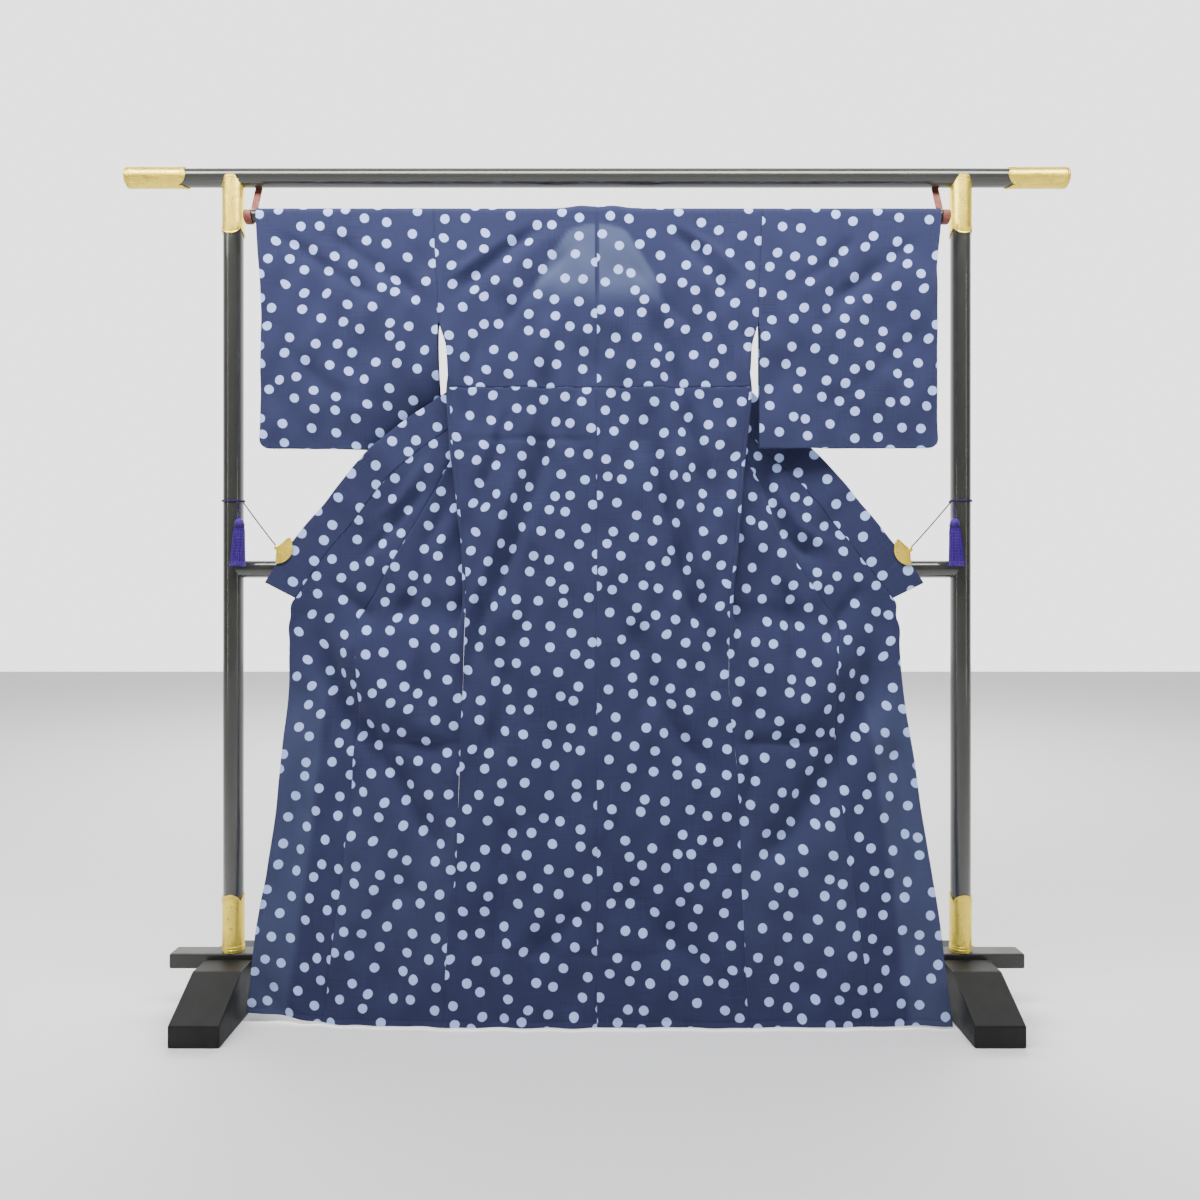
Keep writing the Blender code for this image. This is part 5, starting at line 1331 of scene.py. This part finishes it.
def make_clips(gilt):
    ribs = ribs_tree()
    for side, word in SIDES:
        pivot, inwards = clip_pivot(side)
        middle = math.atan2(inwards[2], inwards[0])
        for which in (-1, 1):
            finish_piece(fan_leaf(word, which, pivot, middle), gilt, ["clip_" + word])
        half = COLLAR_WALL / 2 + CLIP_CLEAR + CLIP_LEAF
        knuckle = [(0.0, -half - 0.0016), (0.0022, -half - 0.0013), (0.0032, -half - 0.0004),
                   (CLIP_KNOB_R * 0.86, -half), (CLIP_KNOB_R, -half + 0.0006), (CLIP_KNOB_R, half - 0.0006),
                   (CLIP_KNOB_R * 0.86, half), (0.0032, half + 0.0004), (0.0022, half + 0.0013),
                   (0.0, half + 0.0016)]
        knob = lathe(f"clip_{word}_knuckle", knuckle, (0, 0, 0), sides=28)
        knob.data.transform(Matrix.Translation(Vector(pivot)) @ Matrix.Rotation(math.pi / 2, 4, "X"))
        finish_piece(knob, gilt, ["clip_" + word])
        routes = []
        for which in (-1, 1):
            for rib in range(CLIP_RIBS + 1):
                angle = middle + CLIP_SWEEP * (rib / CLIP_RIBS - 0.5)
                y = pivot[1] + which * (half + 0.0002)
                routes.append([(pivot[0] + r * math.cos(angle), y, pivot[2] + r * math.sin(angle))
                               for r in (CLIP_KNOB_R * 0.8, CLIP_R * 0.60, CLIP_R * 0.955)])
        laid = run_tree(ribs, path_object(f"clip_{word}_ribs", routes), gilt, Radius=CLIP_RIB_R)
        finish_piece(laid, gilt, [])


def tube(path, radius, sides=8, start=0):
    """Rounded tube round a path: its vertices, faces and map (round it, and along it in metres)."""
    path = np.asarray(path, float)
    radius = np.broadcast_to(radius, len(path))
    tangents = unit(np.gradient(path, axis=0))
    normal = np.cross(tangents[0], (0.3, 0.5, 0.81))
    rings = []
    for point, tangent, size in zip(path, tangents, radius):
        normal = unit(normal - tangent * (normal @ tangent))
        binormal = np.cross(tangent, normal)
        turn = np.arange(sides)[:, None] * 2 * math.pi / sides
        rings.append(point + size * (np.cos(turn) * normal + np.sin(turn) * binormal))
    faces = grid_faces(len(path), sides, start, flip=True, wrap=True)
    faces += [tuple(start + c for c in range(sides)),
              tuple(start + (len(path) - 1) * sides + c for c in range(sides - 1, -1, -1))]
    run = path_run(path)
    uv = [(c / sides, d) for d in run for c in range(sides)]
    return np.concatenate(rings), faces, uv


def tubes_object(name, paths, radius, sides=8):
    """Several tubes in one mesh; radius is one number, or one entry for each path."""
    verts, faces, uv = [], [], []
    for i, path in enumerate(paths):
        own = radius[i] if isinstance(radius, list) else radius
        v, f, m = tube(path, own, sides, start=sum(len(x) for x in verts))
        verts.append(v)
        faces += f
        uv += m
    return mesh_object(name, np.concatenate(verts), faces, uv)


def two_ply(path, radius, pitch=0.0055):
    """Paths of the two plies of a twisted cord."""
    path = np.asarray(path, float)
    run = path_run(path)
    places = np.linspace(0, run[-1], max(int(run[-1] / pitch * 9), 8))
    centre = np.stack([np.interp(places, run, path[:, k]) for k in range(3)], axis=-1)
    tangents = unit(np.gradient(centre, axis=0))
    normal = unit(np.cross(tangents, (0.21, 0.43, 0.88)))
    binormal = np.cross(tangents, normal)
    turn = (places / pitch * 2 * math.pi)[:, None]
    offset = radius * 0.46 * (np.cos(turn) * normal + np.sin(turn) * binormal)
    return [centre + offset, centre - offset]


def make_cords(silk):
    wrap_r = POST_R + GAP + CORD_R
    for side, word in SIDES:
        turns = np.linspace(0, 2 * math.pi * WRAP_TURNS, 46 * WRAP_TURNS)
        drop = CORD_R * 2 * (0.5 - turns / turns[-1]) * (WRAP_TURNS - 1)
        start = math.pi if side > 0 else 0.0
        helix = np.stack((side * POST_X + wrap_r * np.cos(start + turns), wrap_r * np.sin(start + turns),
                          WRAP_Z + drop), axis=-1)
        wrap = tubes_object("cord_wrap_" + word + "_winding", two_ply(helix, CORD_R), CORD_R * 0.56)
        finish_piece(wrap, silk, ["cord_wrap_" + word])

        pivot, _ = clip_pivot(side)
        rim = POST_R + GAP + 2 * CORD_R
        begin = np.array((side * (POST_X - rim * math.cos(0.35)), -rim * math.sin(0.35), WRAP_Z - CORD_R))
        run = unit(pivot - begin)
        end = pivot - run * (CLIP_KNOB_R * 0.8)
        line = [begin - run * 0.0008 + (end - begin) * t for t in np.linspace(0, 1, 12)]
        sag = [p - np.array((0, 0, TIE_SAG * math.sin(math.pi * t)))
               for p, t in zip(line, np.linspace(0, 1, 12))]
        tie = tubes_object("clip_cord_" + word + "_twist", two_ply(sag, CORD_R * 1.15), CORD_R * 0.65)
        finish_piece(tie, silk, ["clip_cord_" + word])


def tassel_centre(side, share):
    """Middle of the tassel, from the head's underside at 0 to the strands' ends at 1."""
    return np.array((side * (POST_X - TASSEL_OUT), TASSEL_TOP_Y + (TASSEL_BOTTOM_Y - TASSEL_TOP_Y) * share))


def make_tassels(silk, strand_silk, count):
    draw = np.random.default_rng(5)
    for side, word in SIDES:
        top = np.array((side * (POST_X - TASSEL_OUT), TASSEL_TOP_Y, TASSEL_HEAD_TOP))
        hang = np.array((side * (POST_X - LOOP_OUT), LOOP_Y, TASSEL_HEAD_TOP + LOOP_RISE))
        loops = []
        for shift in (-1, 1):
            beside = np.array((LOOP_SPLIT * shift, 0.0, 0.0))
            line = [top + (hang - top) * t + beside * math.sin(math.pi * min(t + 0.12, 1.0))
                    for t in np.linspace(-0.05, 0.99, 14)]
            loops += two_ply(line, CORD_R * 0.8)
        cords = tubes_object(f"tassel_{word}_hanging_cord", loops, CORD_R * 0.45)
        finish_piece(cords, silk, ["tassel_" + word])

        knob = [(0.0, 0.0016), (0.0030, 0.0012), (0.0056, -0.0006), (0.0078, -0.0034), (0.0090, -0.0066),
                (0.0094, -0.0096), (0.0092, -0.0120), (0.0088, -0.0160), (0.0, -0.0165)]
        head = lathe(f"tassel_{word}_head", knob, tuple(top), sides=48)
        uv = head.data.uv_layers.new(name="Cloth")
        for loop, entry in zip(head.data.loops, uv.data):
            co = head.data.vertices[loop.vertex_index].co
            entry.uv = (math.atan2(co.y - top[1], co.x - top[0]) / (2 * math.pi) * 8, co.z)
        finish_piece(head, strand_silk, ["tassel_" + word])

        turns = np.linspace(0, 2 * math.pi * BINDING_TURNS, 140)
        winding = np.stack((top[0] + BINDING_R * np.cos(turns), top[1] + BINDING_R * np.sin(turns),
                            top[2] - BINDING_DROP - BINDING_PITCH * turns / (2 * math.pi)), axis=-1)
        band = tubes_object(f"tassel_{word}_binding", [winding], STRAND_R)
        finish_piece(band, silk, ["tassel_" + word])

        strands = []
        root = TASSEL_HEAD_TOP - TASSEL_HEAD + 0.004
        for i in range(count):
            ring = math.sqrt((i + 0.5) / count)
            angle = i * math.pi * (3 - math.sqrt(5))
            end = TASSEL_BOTTOM + abs(draw.normal(0, STRAND_UNEVEN))
            sway = draw.normal(0, STRAND_SWAY, 2)
            route = []
            for t in np.linspace(0, 1, 8):
                radius = ring * (STRAND_ROOT_R + (TASSEL_TOP_R - STRAND_ROOT_R) * smoothstep(t / 0.15)
                                 + (TASSEL_BOTTOM_R - TASSEL_TOP_R) * t ** 1.4)
                centre = tassel_centre(side, t)
                bend = sway * math.sin(2.4 * t)
                route.append((centre[0] + radius * math.cos(angle) + bend[0],
                              centre[1] + radius * math.sin(angle) + bend[1], root + (end - root) * t))
            strands.append(route)
        skirt = tubes_object(f"tassel_{word}_strands", strands, STRAND_R, sides=5)
        finish_piece(skirt, strand_silk, ["tassel_" + word])


# ---------------------------------------------------------------- stitches
def make_stitches(thread):
    """Hem stitches of the body, on the turned edge's line."""
    lift, z = 0.0005, HEM_Z + HEM_LINE
    routes = []
    for side, _ in SIDES:
        out = np.linspace(0.004, drape_value(side, "side", z) - 0.004, 60)
        routes.append(place(side, out, np.full(out.shape, back_depth(z) - lift), z))
        routes.append(sheet_row(side, z, np.linspace(0.004, drape_value(side, "edge", z) - 0.010, 90), lift))
    made = run_tree(stitches_tree(), path_object("robe_hem_stitches", routes), thread, Spacing=0.016,
                    Length=0.0024, Thickness=0.00028)
    finish_piece(made, thread, [])


# ---------------------------------------------------------------- stage
CAMERA_DISTANCE, CAMERA_HEIGHT = 1.94, 0.808
FOCAL_PIXELS, IMAGE_PIXELS, MIDDLE_PIXEL = 970.0, 1200.0, 597.0
FLOOR_HALF = 9
STARTUP_OBJECTS = ("Cube", "Light", "Camera")      # of an empty Blender file


def make_stage(power):
    for name in STARTUP_OBJECTS:
        if name in bpy.data.objects:
            bpy.data.objects.remove(bpy.data.objects[name], do_unlink=True)
    corners = [(x * FLOOR_HALF, y * FLOOR_HALF, 0) for x, y in ((-1, -1), (1, -1), (1, 1), (-1, 1))]
    floor = mesh_object("floor", corners, [(0, 1, 2, 3)])
    floor.data.materials.append(floor_material())

    world = bpy.data.worlds.new("Pale studio")
    world.use_nodes = True
    sky = world.node_tree.nodes["Background"]
    sky.inputs["Color"].default_value = (1.0, 1.0, 1.0, 1.0)
    # white room, brighter beyond the stand than on the camera's side
    room = Tree(world.node_tree)
    way = room.add("ShaderNodeSeparateXYZ", {"Vector": room.add("ShaderNodeTexCoord").outputs["Generated"]})
    room.join(room.ramp(way.outputs["Y"], -0.15, 0.75, 0.08 * power, 2.6 * power), sky.inputs["Strength"])
    bpy.context.scene.world = world

    # columns: name, place, aim, width, height, watts
    lamps = (("ceiling_front", (0.0, -0.8, 2.45), (0.0, 0.0, 1.35), 3.2, 0.5, 90.0),
             ("ceiling_left", (-2.2, -1.0, 2.8), (0.0, 0.0, 0.9), 1.2, 1.2, 26.0),
             ("strip_left", (-2.2, -1.5, 1.3), (0.8, 0.0, 1.0), 0.05, 1.8, 4.5),
             ("strip_right", (2.2, -1.5, 1.3), (-0.8, 0.0, 1.0), 0.05, 1.8, 4.5),
             ("ceiling_back", (0.0, 3.0, 3.4), (0.0, 3.4, 0.0), 5.0, 2.0, 200.0))
    for name, place_at, aim, width, height, watts in lamps:
        light = bpy.data.lights.new(name, "AREA")
        light.shape, light.size, light.size_y, light.energy = "RECTANGLE", width, height, watts * power
        lamp = linked(name, light)
        lamp.location = place_at
        lamp.rotation_euler = (Vector(aim) - Vector(place_at)).to_track_quat("-Z", "Y").to_euler()

    lens = bpy.data.cameras.new("View from behind the robe")
    lens.sensor_width = 36.0
    lens.lens = lens.sensor_width * FOCAL_PIXELS / IMAGE_PIXELS
    lens.shift_x = (IMAGE_PIXELS / 2 - MIDDLE_PIXEL) / IMAGE_PIXELS
    lens.clip_start = 0.05
    camera = linked("camera", lens)
    camera.location = (0.0, -CAMERA_DISTANCE, CAMERA_HEIGHT)
    camera.rotation_euler = (math.pi / 2, 0.0, 0.0)
    bpy.context.scene.camera = camera


# ---------------------------------------------------------------- settings
def length(name, description, default):
    return bpy.props.FloatProperty(name=name, description=description, default=default, min=0.0,
                                   unit="LENGTH", precision=5)


def tint(name, description, default):
    return bpy.props.FloatVectorProperty(name=name, description=description, default=default, size=3,
                                         min=0.0, max=1.0, subtype="COLOR")


class YukataClothSettings(bpy.types.PropertyGroup):
    """Cotton of the robe and its printed dots"""
    thickness: length("Cloth thickness", "Thickness of one layer of cotton", 0.0008)
    dot_size: length("Dot size", "Diameter of a printed dot", 0.0180)
    dot_spacing: length("Dot spacing", "Spacing of the loose lattice that the dots keep to", 0.0432)
    navy: tint("Navy", "Dyed ground of the cotton", (0.030, 0.035, 0.088))
    dots: tint("Dots", "Colour of the printed dots", (0.44, 0.56, 1.0))
    # Painted light: the colour of the ground where one layer of cloth shows light behind it.
    painted_see_through: tint("See-through navy", "Ground where one layer shows light behind it",
                      (0.072, 0.088, 0.170))


class YukataStandSettings(bpy.types.PropertyGroup):
    """Finishes of the stand"""
    lacquer: tint("Lacquer", "Black lacquer of the posts, rail and feet", (0.042, 0.042, 0.038))
    rod: tint("Rod", "Dark lacquer of the rod through the sleeves", (0.022, 0.016, 0.014))
    gilt: tint("Gilt", "Gilding of the fittings and clips", (1.0, 0.76, 0.110))
    strap: tint("Strap", "Leather of the two hooks", (0.26, 0.075, 0.055))


class YukataTieSettings(bpy.types.PropertyGroup):
    """Cords and tassels"""
    silk: tint("Silk", "Purple of the tassels", (0.046, 0.010, 0.225))
    cord: tint("Cord", "Darker purple of the cords", (0.032, 0.014, 0.100))
    strands: bpy.props.IntProperty(name="Strands", description="Strands in each tassel", default=210, min=20,
                                   max=230)


class YukataStageSettings(bpy.types.PropertyGroup):
    """Light of the studio"""
    power: bpy.props.FloatProperty(name="Light", description="Strength of all the lights", default=1.0,
                                   min=0.0)


# columns: property, shade (a factor on its colour, which for the plates and feet is painted light and shade),
# roughness, clear coat, size of the worn places, shine
LACQUERS = {
    "Black lacquer": ("lacquer", 1.0, 0.16, 0.6, 12.0, 0.5),
    # Painted light: the plates are toned lighter than the feet, because their front faces get less light.
    "Satin plate lacquer": ("lacquer", 0.70, 0.45, 0.0, 20.0, 0.5),
    # Painted shade: the feet are toned much darker than the same lacquer elsewhere, because their tops face
    # the lamps.
    "Satin feet lacquer": ("lacquer", 0.12, 0.55, 0.0, 20.0, 0.3),
    "Dark rod lacquer": ("rod", 1.0, 0.28, 0.3, 16.0, 0.5),
}
# columns: property, length of one turn of the twist, slant
SILKS = {"Purple silk cord": ("cord", 0.0055, 1.0), "Purple silk strands": ("silk", 0.012, 0.2)}


def new_finish(name, scene):
    if name in LACQUERS:
        key, tone, *values = LACQUERS[name]
        return lacquer_material(name, shade(getattr(scene.yukata_stand, key), tone), *values)
    if name in SILKS:
        key, *values = SILKS[name]
        return silk_material(name, getattr(scene.yukata_ties, key), *values)
    if name == "Gilt fittings":
        return gilt_material(scene.yukata_stand.gilt)
    if name == "Red-brown leather strap":
        return strap_material(scene.yukata_stand.strap)
    return cotton_material(scene.yukata_cloth)


def finish(name):
    """The material of this name, made the first time that a piece asks for it."""
    if "Plain Weave" not in bpy.data.node_groups:
        for build in (weave_group, dots_group, wear_group, twist_group):
            build()
    return bpy.data.materials.get(name) or new_finish(name, bpy.context.scene)


# ---------------------------------------------------------------- operators
class YUKATA_OT_stage(bpy.types.Operator):
    """Floor, soft light and camera"""
    bl_idname = "yukata.stage"
    bl_label = "Stage"

    def execute(self, context):
        make_stage(context.scene.yukata_stage.power)
        return {"FINISHED"}


class YUKATA_OT_body(bpy.types.Operator):
    """Back, front and overlap panels of the robe"""
    bl_idname = "yukata.body"
    bl_label = "Body Panels"

    def execute(self, context):
        cloth = context.scene.yukata_cloth
        cotton = finish("Navy dotted cotton")
        for side, word in SIDES:
            back, shoulder_u = make_back(side, word, cloth.thickness)
            front = make_front(side, word, cloth.thickness, shoulder_u)
            okumi = make_okumi(side, word, cloth.thickness)
            finish_piece(back, cotton, [f"back_{word}_{part}" for part in ("upper", "lower")])
            finish_piece(front, cotton, ["front_" + word])
            finish_piece(okumi, cotton, ["okumi_" + word])
            back_points(side)[0]
            front_sheet(side, False)
            front_sheet(side, True)
        return {"FINISHED"}


class YUKATA_OT_sleeves(bpy.types.Operator):
    """Two sleeves, each one cloth over the rod"""
    bl_idname = "yukata.sleeves"
    bl_label = "Sleeves"

    def execute(self, context):
        for side, word in SIDES:
            sleeve, points = make_sleeve(side, word, context.scene.yukata_cloth.thickness)
            nodes = [f"sleeve_{word}_{wall}" for wall in ("back", "front")]
            finish_piece(sleeve, finish("Navy dotted cotton"), nodes)
        return {"FINISHED"}


class YUKATA_OT_collar(bpy.types.Operator):
    """Folded collar band, left, right and at the nape"""
    bl_idname = "yukata.collar"
    bl_label = "Collar"

    def execute(self, context):
        cotton = finish("Navy dotted cotton")
        for side, word in SIDES:
            finish_piece(make_collar(side, word), cotton, ["collar_" + word])
        finish_piece(make_nape(), cotton, ["collar_nape"])
        return {"FINISHED"}


class YUKATA_OT_stitches(bpy.types.Operator):
    """Stitches along the hem"""
    bl_idname = "yukata.stitches"
    bl_label = "Stitches"

    def execute(self, context):
        make_stitches(finish("Navy dotted cotton"))
        return {"FINISHED"}


class YUKATA_OT_poles(bpy.types.Operator):
    """Lacquered rail, posts, crossbar and rod"""
    bl_idname = "yukata.poles"
    bl_label = "Poles"

    def execute(self, context):
        make_poles(finish("Black lacquer"), finish("Dark rod lacquer"))
        return {"FINISHED"}


class YUKATA_OT_fittings(bpy.types.Operator):
    """Gilt ferrules, rail caps and their tacks"""
    bl_idname = "yukata.fittings"
    bl_label = "Fittings"

    def execute(self, context):
        make_fittings(finish("Gilt fittings"))
        return {"FINISHED"}


class YUKATA_OT_feet(bpy.types.Operator):
    """Foot beams and cross plates"""
    bl_idname = "yukata.feet"
    bl_label = "Feet"

    def execute(self, context):
        make_feet(finish("Satin feet lacquer"), finish("Satin plate lacquer"))
        return {"FINISHED"}


class YUKATA_OT_hooks(bpy.types.Operator):
    """Leather hooks that carry the rod"""
    bl_idname = "yukata.hooks"
    bl_label = "Hooks"

    def execute(self, context):
        make_hooks(finish("Red-brown leather strap"))
        return {"FINISHED"}


class YUKATA_OT_clips(bpy.types.Operator):
    """Gilt fan clips on the collar's ends"""
    bl_idname = "yukata.clips"
    bl_label = "Fan Clips"

    def execute(self, context):
        make_clips(finish("Gilt fittings"))
        return {"FINISHED"}


class YUKATA_OT_ties(bpy.types.Operator):
    """Cords between the clips and the posts, and tassels"""
    bl_idname = "yukata.ties"
    bl_label = "Cords and Tassels"

    def execute(self, context):
        silk = finish("Purple silk cord")
        make_cords(silk)
        make_tassels(silk, finish("Purple silk strands"), context.scene.yukata_ties.strands)
        return {"FINISHED"}


class YUKATA_PT_panel(bpy.types.Panel):
    """Settings and pieces of the robe and its stand"""
    bl_idname = "YUKATA_PT_panel"
    bl_label = "Yukata on a Stand"
    bl_space_type = "VIEW_3D"
    bl_region_type = "UI"
    bl_category = "Yukata"

    def draw(self, context):
        for name in SETTINGS:
            settings = getattr(context.scene, name)
            box = self.layout.box()
            box.label(text=type(settings).__doc__)
            for key in settings.__annotations__:
                box.prop(settings, key)
        for operator in OPERATORS:
            self.layout.operator(operator.bl_idname)


SETTINGS = {"yukata_cloth": YukataClothSettings, "yukata_stand": YukataStandSettings,
            "yukata_ties": YukataTieSettings, "yukata_stage": YukataStageSettings}
OPERATORS = (YUKATA_OT_stage, YUKATA_OT_poles, YUKATA_OT_fittings, YUKATA_OT_feet, YUKATA_OT_hooks,
             YUKATA_OT_body, YUKATA_OT_sleeves, YUKATA_OT_collar, YUKATA_OT_stitches, YUKATA_OT_clips,
             YUKATA_OT_ties)


def register():
    for kind in (*SETTINGS.values(), *OPERATORS, YUKATA_PT_panel):
        bpy.utils.register_class(kind)
    for name, kind in SETTINGS.items():
        setattr(bpy.types.Scene, name, bpy.props.PointerProperty(type=kind))


def unregister():
    for name in SETTINGS:
        delattr(bpy.types.Scene, name)
    for kind in (YUKATA_PT_panel, *reversed(OPERATORS), *SETTINGS.values()):
        bpy.utils.unregister_class(kind)


def plain(bounds):
    return [[float(x) for x in corner] for corner in bounds]


def main():
    register()
    for operator in OPERATORS:
        getattr(bpy.ops.yukata, operator.bl_idname.split(".")[1])()
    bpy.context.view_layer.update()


if __name__ == "__main__":
    main()
